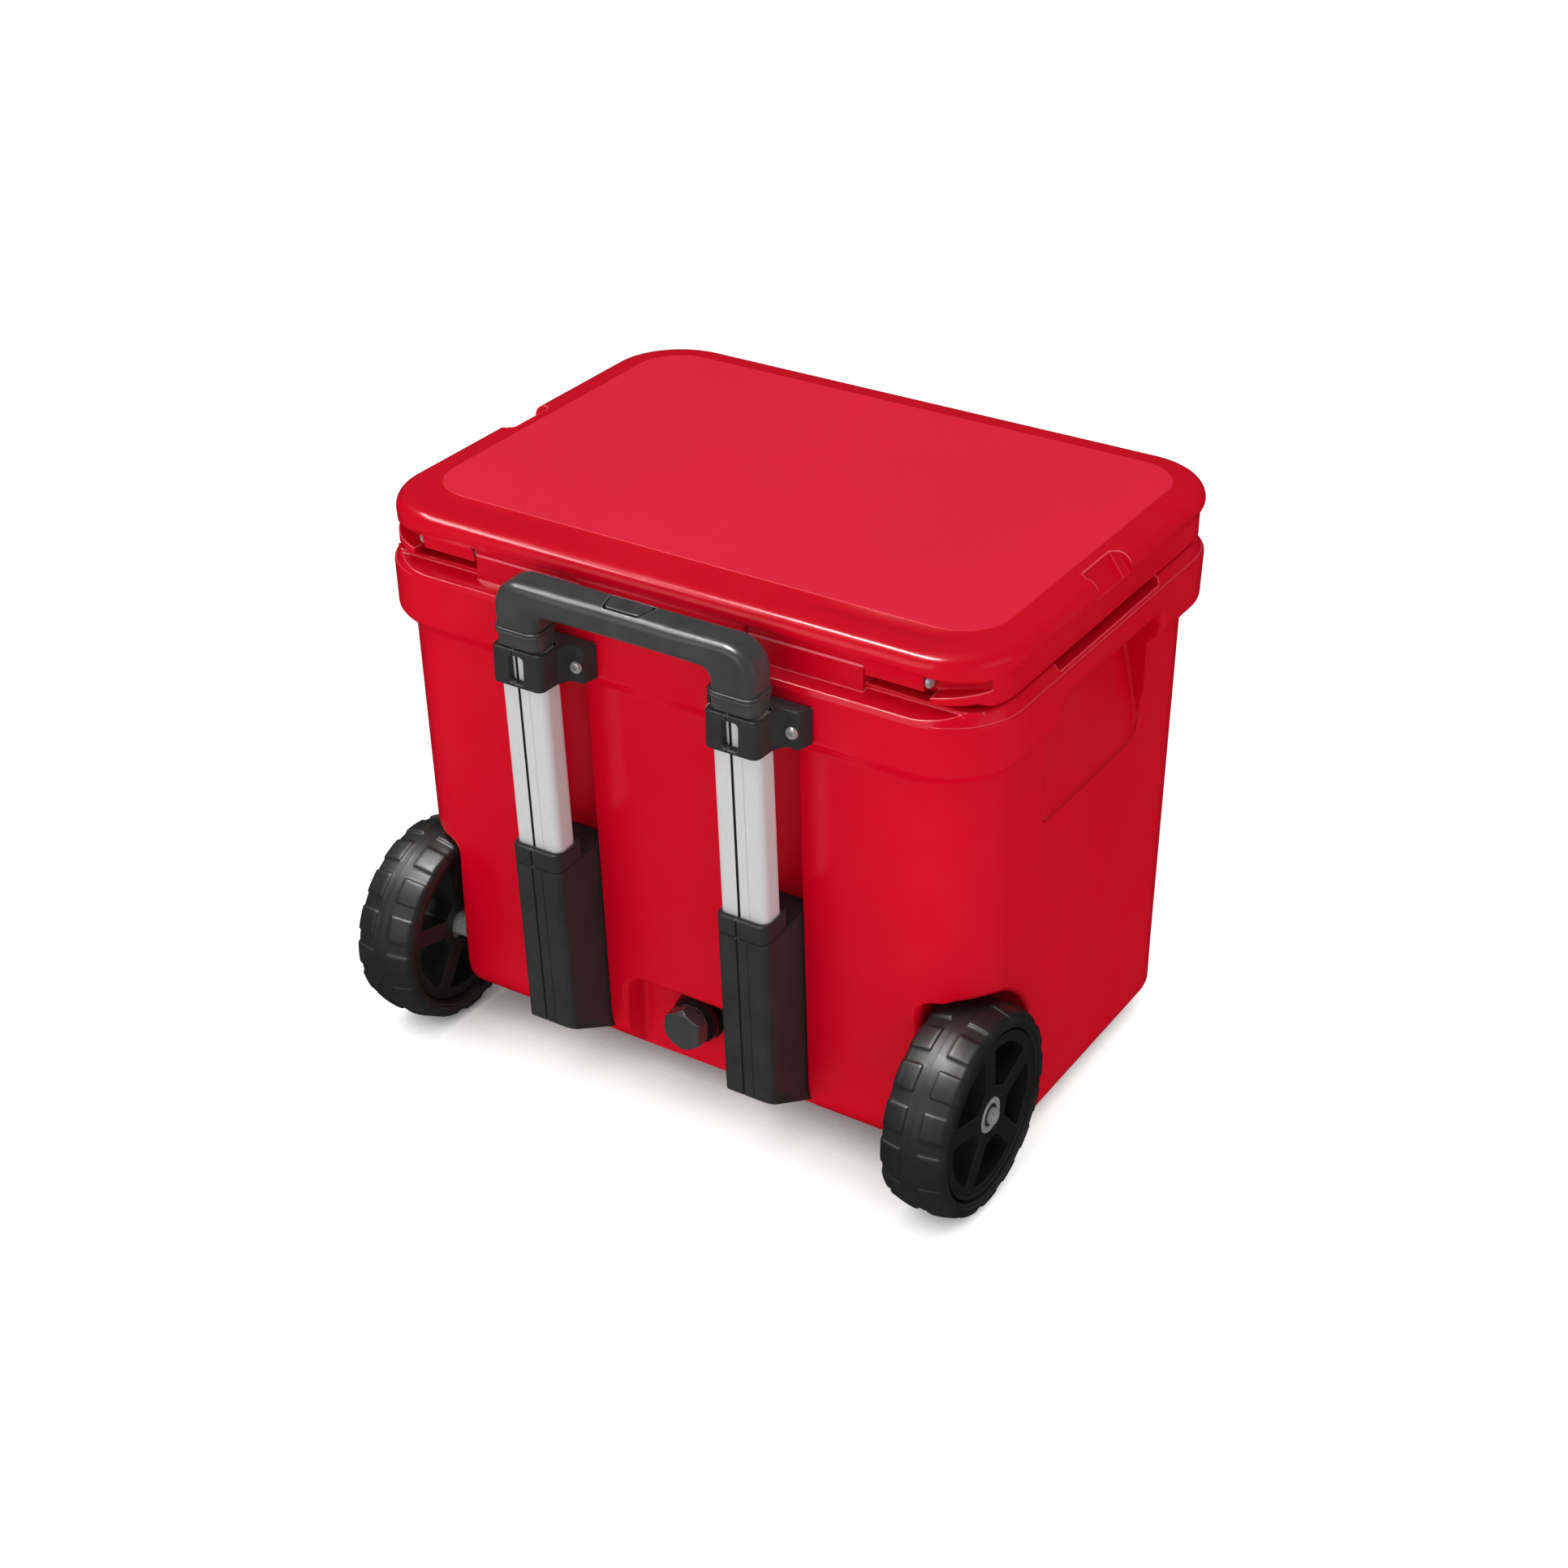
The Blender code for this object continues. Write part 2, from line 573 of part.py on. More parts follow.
def clamp(side):
    """The bracket that ties the top of an outer tube to the collar, with a window at the tube's groove."""
    cx = side * TUBE_X
    face = COLLAR_REAR + GAP
    half = [(47.5, face), (44.5, face + 13), (42.0, face + CLAMP_EAR), (32.0, face + CLAMP_EAR)]
    half += [(27.0, face + 24), (25.5, 262.0)] + arc(17.5, 269.0, 8.0, 0, 90, 4)
    outline = [(cx + a, b) for a, b in half] + [(cx - a, b) for a, b in reversed(half)]
    solid = prism(outline, CLAMP_LOW, CLAMP_TOP)
    cuts = [lean(prism(tube_outline(side, OUTER_X + 0.8, OUTER_Y + 0.8, 7.4), CLAMP_LOW - 20, CLAMP_TOP + 20))]
    window = rounded_rect(cx - 9.5, cx + 4.5, 436, 459, 3, 3)
    cuts.append(prism(window, 264, 300, axis="Y"))
    for turn in (-1, 1):
        cuts.append(cylinder(3.0 + GAP, 220, 260, (cx + turn * CLAMP_BOLT_X, 0, CLAMP_BOLT_Z), "Y", 12))
    name = "tube_clamp_left" if side > 0 else "tube_clamp_right"
    return body(name, solid, BLACK, cut=cuts)


def clamp_screw(side, turn):
    """A pan-head screw with a hex socket that runs through the clamp into the collar."""
    x = side * TUBE_X + turn * CLAMP_BOLT_X
    seat = COLLAR_REAR + CLAMP_EAR + 2 * GAP
    profile = [(0, seat - 32), (3.0, seat - 32), (3.0, seat), (5.6, seat), (5.6, seat + 1.8), (4.2, seat + 3.2)]
    profile += [(0, seat + 3.2)]
    made = turned(profile, (x, 0, CLAMP_BOLT_Z), "Y", 14, ring=False)
    hexagon = [(x + a, CLAMP_BOLT_Z + b) for a, b in arc(0, 0, 2.3, 0, 360, 6)[:-1]]
    name = f"clamp_screw_{'left' if side > 0 else 'right'}_{'outer' if side * turn > 0 else 'inner'}"
    return body(name, made, STEEL, cut=[prism(hexagon, seat + 1.4, seat + 6, axis="Y")])


def screw_holes():
    """Threaded inserts' bores in the collar for the four clamp screws."""
    seat = COLLAR_REAR + CLAMP_EAR
    return [
        cylinder(3.0 + GAP, seat - 33, seat + 6, (side * TUBE_X + turn * CLAMP_BOLT_X, 0, CLAMP_BOLT_Z), "Y", 12)
        for side in (-1, 1)
        for turn in (-1, 1)
    ]


def grip():
    """A U-shaped grip swept along the bar and its two legs, with a lip around each leg's foot."""
    half_x, half_y = GRIP_LEG / 2, GRIP_DEPTH / 2
    bend = 26.0
    foot = GRIP_LIP - 4
    outer = TUBE_X + half_x
    inner = TUBE_X - half_x
    low = GRIP_TOP - GRIP_H
    outline = [(-outer, foot)] + [(inner * -1, foot)]
    outline += arc(-inner + 8, low - 8, 8, 180, 90, 4)
    outline += arc(inner - 8, low - 8, 8, 90, 0, 4)
    outline += [(inner, foot), (outer, foot)]
    outline += arc(outer - bend, GRIP_TOP - bend, bend, 0, 90, 7)
    outline += arc(-outer + bend, GRIP_TOP - bend, bend, 90, 180, 7)
    solid = lean(prism(outline, LEAN_Y - half_y, LEAN_Y + half_y, axis="Y"))
    return solid


def handle_grip():
    made = body("handle_grip", grip(), GRIP, origin=SLIDE_ORIGIN, smooth=False)
    soften = made.modifiers.new("soften", "BEVEL")
    soften.width = 9.0 * MM
    soften.segments = 2
    soften.limit_method = "ANGLE"
    soften.angle_limit = math.radians(50)
    view = bpy.context.evaluated_depsgraph_get()
    made.data = bpy.data.meshes.new_from_object(made.evaluated_get(view))
    made.modifiers.clear()
    for side in (-1, 1):
        lip = rounded_rect(
            side * TUBE_X - GRIP_LEG / 2 - 1.5,
            side * TUBE_X + GRIP_LEG / 2 + 1.5,
            LEAN_Y - GRIP_DEPTH / 2,
            LEAN_Y + GRIP_DEPTH / 2 + 1.5,
            10,
            4,
        )
        apply_boolean(made, lean(prism(lip, GRIP_LIP - 2.5, GRIP_LIP + 2.5)), "UNION")
        neck = tube_outline(side, 39, 31, 9)
        apply_boolean(made, lean(prism(neck, CLAMP_TOP + 1.5, GRIP_LIP + 4)), "UNION")
        socket = tube_outline(side, INNER_X + 0.7, INNER_Y + 0.7, 2.3)
        apply_boolean(made, lean(prism(socket, 440, GRIP_LIP + 6)), "DIFFERENCE")
    well = button_outline(0.5)
    apply_boolean(made, lean(prism(well, GRIP_TOP - 13.5, GRIP_TOP + 20)), "DIFFERENCE")
    made.data.shade_smooth()
    made.data.set_sharp_from_angle(angle=math.radians(35))
    return made


def button_outline(grow=0.0):
    """A rounded trapezium, longer on the side nearer the chest."""
    half_long, half_short, front, rear = 21.0 + grow, 17.0 + grow, LEAN_Y - 9 - grow, LEAN_Y + 9 + grow
    return [
        (-half_long + 2, front),
        (half_long - 2, front),
        (half_long, front + 3),
        (half_short, rear - 2),
        (half_short - 3, rear),
        (-half_short + 3, rear),
        (-half_short, rear - 2),
        (-half_long, front + 3),
    ]


# ---------------------------------------------------------------- drain
def drain_spout():
    """The threaded drain body: a flange on the wall, with a hollow stub through it into the cavity."""
    face = DRAIN_FACE + GAP
    profile = [
        (7.5, 126),
        (BORE_R, 126),
        (BORE_R, face),
        (23.5, face),
        (23.5, face + 3),
        (21.5, face + 5),
        (12.5, face + 5),
        (12.5, face + 14),
        (7.5, face + 14),
    ]
    return turned(profile, (DRAIN_X, 0, DRAIN_Z), "Y", 20)


def drain_washer():
    """The soft ring that seals the cap against the flange."""
    face = DRAIN_FACE + GAP + 5 + GAP
    profile = [(12.9, face), (20.0, face), (20.0, face + 1.9), (12.9, face + 1.9)]
    return turned(profile, (DRAIN_X, 0, DRAIN_Z), "Y", 20)


def drain_cap():
    """The plug's cap: a round skirt over the spout, then a six-sided grip."""
    start = DRAIN_FACE + GAP + 7.6
    skirt = turned(
        [
            (0, start + 9.5),
            (12.9, start + 9.5),
            (12.9, start),
            (21.0, start),
            (21.0, start + 6),
            (19.0, start + 9),
            (17.0, start + 13),
            (0, start + 13),
        ],
        (DRAIN_X, 0, DRAIN_Z),
        "Y",
        20,
        ring=False,
    )
    rings = []
    for radius, y in ((19.0, start + 8), (19.5, start + 12), (19.5, start + 24), (17.5, start + 27)):
        rings.append([Vector((DRAIN_X + a, y, DRAIN_Z + b)) for a, b in arc(0, 0, radius, 30, 390, 6)[:-1]])
    return skirt, skin(rings)


# ---------------------------------------------------------------- latches and feet
def latch(side):
    """A latch pivoted in the collar's recess. Its head stands in front of the lid's notch."""
    x = side * LATCH_X
    face = -LID_FRONT - 1.5
    outline = (
        [(face - 7, LATCH_Z + 16)]
        + [(LATCH_Y - 5.5, LATCH_Z - 3)]
        + arc(LATCH_Y, LATCH_Z, 6, 210, 370, 6)
        + [(LATCH_Y - 4, LATCH_Z + 9), (face, LATCH_Z + 20), (face, LATCH_TOP - 2)]
        + [(face - 2, LATCH_TOP), (face - 8, LATCH_TOP), (face - 10, LATCH_TOP - 3), (face - 7, LATCH_TOP - 12)]
    )
    half = LATCH_W / 2
    solid = prism(outline, x - half, x + half, axis="X")
    bore = cylinder(2.5 + GAP, x - 50, x + 50, (0, LATCH_Y, LATCH_Z), "X", 12)
    name = "latch_left" if side > 0 else "latch_right"
    return body(name, solid, BLACK, origin=(x, LATCH_Y, LATCH_Z), cut=[bore])


def front_foot(side):
    outline = rounded_rect(side * 225 - 32, side * 225 + 32, -165, -115, 12, 4)
    low = [(side * 225 + (x - side * 225) * 0.94, -140 + (y + 140) * 0.94) for x, y in outline]
    return skin([level(low, 0), level(outline, 3), level(outline, BASE_Z - GAP)])


# ---------------------------------------------------------------- assembly
STAGE = TUBE_WALL + STAGE_GAP
INNER_X, INNER_Y = OUTER_X - 4 * STAGE, OUTER_Y - 4 * STAGE
SLIDE_ORIGIN = (0.0, LEAN_Y, LEAN_Z)
AXLE_CENTRE = (AXLE_Y, WHEEL_R)


def build():
    tub = tub_shell()
    for hole in screw_holes():
        apply_boolean(tub, hole, "DIFFERENCE")
    lid_shell()
    hinge = (0, HINGE_Y, HINGE_Z)
    body("lid_gasket", gasket_ring(), SEAL, origin=hinge)
    handle_grip()
    button = lean(prism(button_outline(), GRIP_TOP - 9.2, GRIP_TOP + 0.6))
    body("handle_button", button, BLACK, origin=SLIDE_ORIGIN)
    for side, hand in ((1, "left"), (-1, "right")):
        body(f"hinge_pin_{hand}", hinge_pin(side), STEEL)
        hub = (side * WHEEL_OUT, *AXLE_CENTRE)
        body(f"wheel_tyre_{hand}", tyre(side), RUBBER, origin=hub)
        rim(side)
        body(f"bearing_outer_{hand}", bearing(side, WHEEL_OUT - 13.8), STEEL, origin=hub)
        body(f"bearing_inner_{hand}", bearing(side, 260.2), STEEL, origin=hub)
        body(f"axle_{hand}", axle(side), STEEL)
        body(f"axle_spacer_{hand}", axle_spacer(side), STEEL)
        body(f"axle_clip_{hand}", axle_clip(side), STEEL)
        housing(side)
        housing_cap(side)
        tube(f"outer_tube_{hand}", side, 0, 93, 461, grooved=True)
        tube(f"middle_tube_{hand}", side, STAGE, 95, 463, origin=SLIDE_ORIGIN)
        tube(f"inner_tube_{hand}", side, 2 * STAGE, 97, GRIP_LIP + 5.5, origin=SLIDE_ORIGIN)
        clamp(side)
        for turn in (-1, 1):
            clamp_screw(side, turn)
        latch(side)
        reach = LATCH_W / 2 + 5.5
        x = side * LATCH_X
        body(f"latch_pin_{hand}", cylinder(2.5, x - reach, x + reach, (0, LATCH_Y, LATCH_Z), "X", 12), STEEL)
        body(f"front_foot_{hand}", front_foot(side), RUBBER)
    body("drain_spout", drain_spout(), BLACK)
    skirt, hexagon = drain_cap()
    plug = (DRAIN_X, DRAIN_FACE, DRAIN_Z)
    body("drain_washer", drain_washer(), SEAL, origin=plug)
    body("drain_cap", skirt, BLACK, origin=plug, join=[hexagon])


build()
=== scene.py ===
"""Looks of the wheeled cooler chest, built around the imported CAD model.

Sizes below are in millimetres in the chest's own axes: X = 0 in the middle, Y = 0 near the middle of the lid,
+Y to the wheels and the pull handle, +Z up from the floor. mesh_object() moves them into the frame along Y,
by SHIFT, which comes from the lid's box.
"""

import json
import math

import bmesh
import bpy
import numpy as np
from mathutils import Matrix, Vector


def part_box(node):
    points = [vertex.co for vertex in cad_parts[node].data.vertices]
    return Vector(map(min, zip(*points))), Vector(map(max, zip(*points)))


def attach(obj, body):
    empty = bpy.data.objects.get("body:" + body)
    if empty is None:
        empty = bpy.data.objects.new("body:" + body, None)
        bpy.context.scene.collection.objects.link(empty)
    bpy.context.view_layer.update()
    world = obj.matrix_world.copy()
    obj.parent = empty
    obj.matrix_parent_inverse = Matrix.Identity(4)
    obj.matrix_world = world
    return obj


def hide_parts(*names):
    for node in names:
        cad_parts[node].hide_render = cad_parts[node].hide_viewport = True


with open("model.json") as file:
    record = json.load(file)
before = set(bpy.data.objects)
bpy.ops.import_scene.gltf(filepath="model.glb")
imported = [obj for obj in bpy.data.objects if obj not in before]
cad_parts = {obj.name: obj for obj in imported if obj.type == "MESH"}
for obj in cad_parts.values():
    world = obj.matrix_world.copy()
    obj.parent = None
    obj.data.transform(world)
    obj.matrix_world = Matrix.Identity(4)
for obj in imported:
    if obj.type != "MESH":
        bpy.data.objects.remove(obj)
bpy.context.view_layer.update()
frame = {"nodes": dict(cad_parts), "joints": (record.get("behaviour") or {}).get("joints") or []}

MM = 0.001
LID_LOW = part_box("lid_shell")[0]
LID_FRONT = 228.0
SHIFT = LID_LOW.y / MM + LID_FRONT


# ---------------------------------------------------------------- outlines
def arc(cx, cy, radius, start, end, steps):
    a = np.radians(np.linspace(start, end, steps + 1))
    return [(cx + radius * math.cos(t), cy + radius * math.sin(t)) for t in a]


def rounded(x0, x1, y0, y1, radius, steps=8, fill=0):
    """Counter-clockwise rectangle. radius is one number, or four from the low-low corner, counter-clockwise.
    fill is the number of points added along each straight side."""
    r = [radius] * 4 if isinstance(radius, (int, float)) else list(radius)
    corners = [
        arc(x1 - r[1], y0 + r[1], r[1], -90, 0, steps),
        arc(x1 - r[2], y1 - r[2], r[2], 0, 90, steps),
        arc(x0 + r[3], y1 - r[3], r[3], 90, 180, steps),
        arc(x0 + r[0], y0 + r[0], r[0], 180, 270, steps),
    ]
    outline = []
    for here, there in zip(corners, corners[1:] + corners[:1]):
        outline += here
        for k in range(1, fill + 1):
            t = k / (fill + 1)
            outline.append(tuple(a + (b - a) * t for a, b in zip(here[-1], there[0])))
    return outline


def oblong(half_x, front, rear, radius, steps=24, fill=0):
    return rounded(-half_x, half_x, -front, rear, radius, steps, fill)


def fillet(points, radii, steps=6):
    """A polygon with a radius at each corner."""
    p = [Vector(q) for q in points]
    outline = []
    for i, radius in enumerate(radii):
        if radius == 0:
            outline.append(tuple(p[i]))
            continue
        u = (p[i - 1] - p[i]).normalized()
        v = (p[(i + 1) % len(p)] - p[i]).normalized()
        half = u.angle(v) / 2
        centre = p[i] + (u + v).normalized() * (radius / math.sin(half))
        start = p[i] + u * (radius / math.tan(half)) - centre
        end = p[i] + v * (radius / math.tan(half)) - centre
        first = math.atan2(start.y, start.x)
        turn = math.atan2(start.x * end.y - start.y * end.x, start.dot(end))
        for k in range(steps + 1):
            t = first + turn * k / steps
            outline.append((centre.x + radius * math.cos(t), centre.y + radius * math.sin(t)))
    return outline


def grown(outline, amount):
    """A counter-clockwise outline moved outwards."""
    p = np.array(outline, float)
    a = p - np.roll(p, 1, 0)
    b = np.roll(p, -1, 0) - p
    a /= np.linalg.norm(a, axis=1)[:, None] + 1e-12
    b /= np.linalg.norm(b, axis=1)[:, None] + 1e-12
    na = np.stack([a[:, 1], -a[:, 0]], 1)
    nb = np.stack([b[:, 1], -b[:, 0]], 1)
    n = (na + nb) / (1 + (na * nb).sum(1))[:, None]
    return p + np.reshape(amount, (-1, 1)) * n


def mirrored(outline):
    return [(-x, y) for x, y in reversed(outline)]


# ---------------------------------------------------------------- solids
def flat(points, z):
    p = np.array(points, float)
    return np.column_stack([p, np.full(len(p), float(z)) if np.isscalar(z) else z])


def loft(rings, loop=False, caps=True):
    """(points, faces) through rings of equal length."""
    n, m = len(rings[0]), len(rings)
    faces = []
    for k in range(m if loop else m - 1):
        a, b = k * n, ((k + 1) % m) * n
        faces += [(a + i, a + (i + 1) % n, b + (i + 1) % n, b + i) for i in range(n)]
    if caps and not loop:
        faces += [tuple(range(n - 1, -1, -1)), tuple(range((m - 1) * n, m * n))]
    return np.vstack(rings), faces


def turned(profile, centre, axis, steps=64):
    """A profile of (radius, offset) points turned about an axis. Points on the axis close the ends."""
    c = np.array(centre, float)
    points, rows, faces = [], [], []
    for radius, offset in profile:
        count = 1 if radius == 0 else steps
        row = []
        for k in range(count):
            t = 2 * math.pi * k / steps
            u, v = radius * math.cos(t), radius * math.sin(t)
            row.append(len(points))
            points.append(c + {"X": (offset, u, v), "Y": (u, offset, v), "Z": (u, v, offset)}[axis])
        rows.append(row)
    pairs = list(zip(rows, rows[1:]))
    if profile[0][0] != 0:
        pairs.append((rows[-1], rows[0]))
    for low, high in pairs:
        for k in range(steps):
            j = (k + 1) % steps
            ring = [low[k % len(low)], low[j % len(low)], high[j % len(high)], high[k % len(high)]]
            ring = list(dict.fromkeys(ring))
            if len(ring) > 2:
                faces.append(tuple(ring))
    return np.array(points), faces


def soft_rings(outline, low, high, r_low, r_high, steps=4):
    """Rings of an upright prism with rounded rims. low and high are heights, or functions of a
    ring's points."""
    rings = []
    for k in range(steps + 1):
        t = math.pi / 2 * k / steps
        p = grown(outline, -r_low * (1 - math.sin(t)))
        z = low(p) if callable(low) else low
        rings.append(flat(p, z + r_low * (1 - math.cos(t)) + np.zeros(len(p))))
    for k in range(steps + 1):
        t = math.pi / 2 * k / steps
        p = grown(outline, -r_high * (1 - math.cos(t)))
        z = high(p) if callable(high) else high
        rings.append(flat(p, z - r_high * (1 - math.sin(t)) + np.zeros(len(p))))
    return rings


def swap(rings, order):
    """Rings with their coordinates taken in another order, such as "zxy": x from z, y from x, z from y."""
    index = ["xyz".index(c) for c in order]
    return [np.array(r)[:, index] for r in rings]


def pocket_rings(outline, surface, floor, lip, foot, draft=0.0, out=2.0):
    """Rings of a cutter with a rounded lip at the wall and a rounded foot, both smaller where the pocket
    is shallow. surface and floor are heights along the third axis, which points out of the wall: each is
    a number or a function of the ring's points."""

    def at(what, p):
        return (what(p) if callable(what) else what) + np.zeros(len(p))

    base = np.array(outline, float)
    depth = at(surface, base) - at(floor, base)
    lip = np.minimum(lip, 0.55 * depth)
    foot = np.minimum(foot, 0.35 * depth)
    rings = []
    first = math.radians(14)
    p = grown(outline, lip * (1 - math.sin(first)) + out / math.tan(first))
    brim = at(surface, p) - lip * (1 - math.cos(first)) + out
    rings += [flat(p, brim.max() + 5), flat(p, brim)]
    for degrees in (14, 32, 52, 71, 90):
        t = math.radians(degrees)
        p = grown(outline, lip * (1 - math.sin(t)))
        rings.append(flat(p, at(surface, p) - lip * (1 - math.cos(t))))
    for degrees in (0, 30, 60, 90):
        t = math.radians(degrees)
        p = grown(outline, -draft - foot * (1 - math.cos(t)))
        rings.append(flat(p, at(floor, p) + foot * (1 - math.sin(t))))
    return rings


def prism(outline, low, high, order="xyz"):
    return loft(swap([flat(outline, low), flat(outline, high)], order))


def block(x0, x1, y0, y1, z0, z1):
    return prism([(x0, y0), (x1, y0), (x1, y1), (x0, y1)], z0, z1)


# The pull handle leans back, at its slide's angle, about a line along X on the tubes' middle at LEAN_Z.
SLIDE = next(j for j in frame["joints"] if j["name"] == "handle_stage_1_slide")
LEAN = math.atan2(SLIDE["axis"][1], SLIDE["axis"][2])
LEAN_Y, LEAN_Z = 249.5, 300.0


def lean(points):
    p = np.array(points, float)
    y, z = p[:, 1] - LEAN_Y, p[:, 2] - LEAN_Z
    c, s = math.cos(LEAN), math.sin(LEAN)
    return np.column_stack([p[:, 0], LEAN_Y + y * c + z * s, LEAN_Z - y * s + z * c])


def leaned(made):
    return lean(made[0]), made[1]


# ---------------------------------------------------------------- objects
def mesh_object(name, made):
    points, faces = made
    p = np.array(points, float)
    p[:, 1] += SHIFT
    mesh = bpy.data.meshes.new(name)
    mesh.from_pydata((p * MM).tolist(), [], [list(map(int, f)) for f in faces])
    bm = bmesh.new()
    bm.from_mesh(mesh)
    bmesh.ops.recalc_face_normals(bm, faces=bm.faces)
    bm.to_mesh(mesh)
    bm.free()
    obj = bpy.data.objects.new(name, mesh)
    bpy.context.scene.collection.objects.link(obj)
    return obj


def combine(target, operation, *tools):
    """Exact booleans, one tool after another."""
    for tool in tools:
        cutter = mesh_object("cutter", tool)
        step = target.modifiers.new("combine", "BOOLEAN")
        step.operation = operation
        step.solver = "EXACT"
        step.object = cutter
        view = bpy.context.evaluated_depsgraph_get()
        result = bpy.data.meshes.new_from_object(target.evaluated_get(view))
        target.modifiers.clear()
        target.data = result
        bpy.data.objects.remove(cutter, do_unlink=True)
    return target


def cut(target, *tools):
    return combine(target, "DIFFERENCE", *tools)


def join(target, *tools):
    return combine(target, "UNION", *tools)


def dress(obj, look, body, replaces=(), sharp=38, weighted=True):
    """Gives a piece its material, smooth shading and the body it rides on."""
    obj.data.materials.clear()
    for one in look if isinstance(look, (list, tuple)) else [look]:
        obj.data.materials.append(one)
    obj.data.shade_smooth()
    obj.data.set_sharp_from_angle(angle=math.radians(sharp))
    if weighted:
        step = obj.modifiers.new("normals", "WEIGHTED_NORMAL")
        step.keep_sharp = True
        step.weight = 80
    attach(obj, body)
    if replaces:
        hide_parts(*replaces)
    return obj


def paint(obj, index, test):
    """Gives the faces that pass a test on their centre, in millimetres, and normal another material."""
    for face in obj.data.polygons:
        c = face.center
        if test(c.x / MM, c.y / MM - SHIFT, c.z / MM, face.normal):
            face.material_index = index


# ---------------------------------------------------------------- materials
class Nodes:
    """Short names for building one material."""

    def __init__(self, name):
        self.material = bpy.data.materials.new(name)
        self.material.use_nodes = True
        self.tree = self.material.node_tree
        self.shader = self.tree.nodes["Principled BSDF"]
        self.where = self.tree.nodes.new("ShaderNodeTexCoord").outputs["Object"]

    def link(self, a, b):
        self.tree.links.new(a, b)

    def noise(self, scale, detail=3.0, rough=0.5, stretch=None):
        n = self.tree.nodes.new("ShaderNodeTexNoise")
        n.inputs["Scale"].default_value = scale
        n.inputs["Detail"].default_value = detail
        n.inputs["Roughness"].default_value = rough
        source = self.where
        if stretch:
            m = self.tree.nodes.new("ShaderNodeMapping")
            m.inputs["Scale"].default_value = stretch
            self.link(self.where, m.inputs["Vector"])
            source = m.outputs["Vector"]
        self.link(source, n.inputs["Vector"])
        return n.outputs["Fac"]

    def span(self, value, low, high, start=0.3, end=0.7):
        m = self.tree.nodes.new("ShaderNodeMapRange")
        m.inputs["From Min"].default_value = start
        m.inputs["From Max"].default_value = end
        m.inputs["To Min"].default_value = low
        m.inputs["To Max"].default_value = high
        self.link(value, m.inputs["Value"])
        return m.outputs["Result"]

    def mix(self, factor, a, b):
        m = self.tree.nodes.new("ShaderNodeMix")
        m.data_type = "RGBA"
        for value, socket in ((a, m.inputs["A"]), (b, m.inputs["B"])):
            if isinstance(value, tuple):
                socket.default_value = (*value, 1)
            else:
                self.link(value, socket)
        if isinstance(factor, float):
            m.inputs["Factor"].default_value = factor
        else:
            self.link(factor, m.inputs["Factor"])
        return m.outputs["Result"]

    def painted_highlight_mask(self, radius):
        """Mask for painted highlights: 1 on edges that face up to the light, 0 elsewhere. On an edge, a
        rounded normal leaves the true one."""
        plain = self.tree.nodes.new("ShaderNodeNewGeometry")
        split = self.tree.nodes.new("ShaderNodeSeparateXYZ")
        bevel = self.tree.nodes.new("ShaderNodeBevel")
        bevel.samples = 8
        bevel.inputs["Radius"].default_value = radius
        self.link(bevel.outputs["Normal"], split.inputs[0])
        up = self.span(split.outputs["Z"], 0.0, 1.0, 0.15, 0.45)
        off = self.tree.nodes.new("ShaderNodeMath")
        off.operation = "MULTIPLY"
        dot = self.tree.nodes.new("ShaderNodeVectorMath")
        dot.operation = "DOT_PRODUCT"
        self.link(bevel.outputs["Normal"], dot.inputs[0])
        self.link(plain.outputs["Normal"], dot.inputs[1])
        self.link(self.span(dot.outputs["Value"], 1.0, 0.0, 0.8, 0.995), off.inputs[0])
        self.link(up, off.inputs[1])
        return off.outputs["Value"]

    def soft(self, radius):
        """A normal that rounds off edges."""
        bevel = self.tree.nodes.new("ShaderNodeBevel")
        bevel.samples = 6
        bevel.inputs["Radius"].default_value = radius
        return bevel.outputs["Normal"]

    def bump(self, height, strength, distance, before=None):
        b = self.tree.nodes.new("ShaderNodeBump")
        b.inputs["Strength"].default_value = strength
        b.inputs["Distance"].default_value = distance
        self.link(height, b.inputs["Height"])
        if before:
            self.link(before, b.inputs["Normal"])
        return b.outputs["Normal"]

    def set(self, name, value):
        socket = self.shader.inputs[name]
        if isinstance(value, (float, int)):
            socket.default_value = value
        elif isinstance(value, tuple):
            socket.default_value = (*value, 1.0)
        else:
            self.link(value, socket)


def red_gloss():
    n = Nodes("red_gloss")
    broad = n.noise(3.0, 2)
    colour = n.mix(n.span(broad, 0.0, 1.0), (0.66, 0.0004, 0.0150), (0.60, 0.0002, 0.0125))
    # Painted highlight: a pale pink is mixed into the base colour on edges that face up.
    n.set("Base Color", n.mix(n.span(n.painted_highlight_mask(0.0024), 0.0, 1.0, 0.0, 0.8), colour, (1.0, 0.16, 0.21)))
    n.set("Roughness", n.span(n.noise(25.0, 4), 0.17, 0.23))
    n.set("Normal", n.bump(n.noise(900.0, 2), 0.02, 0.0001, n.soft(0.0013)))
    n.set("Specular IOR Level", 0.4)
    n.set("Specular Tint", (1.0, 0.6, 0.62))
    n.set("Coat Weight", 0.14)
    n.set("Coat Roughness", 0.07)
    n.link(n.soft(0.0013), n.shader.inputs["Coat Normal"])
    return n.material


def red_matte():
    n = Nodes("red_matte")
    grain, broad = n.noise(1400.0, 3, 0.7), n.noise(4.0, 2)
    n.set("Base Color", n.mix(n.span(broad, 0.0, 1.0), (0.78, 0.0085, 0.040), (0.74, 0.0075, 0.036)))
    n.set("Roughness", n.span(grain, 0.42, 0.55))
    n.set("Specular IOR Level", 0.22)
    n.set("Specular Tint", (1.0, 0.4, 0.45))
    n.set("Normal", n.bump(grain, 0.3, 0.0003, n.bump(n.noise(500.0, 2), 0.1, 0.0004)))
    return n.material


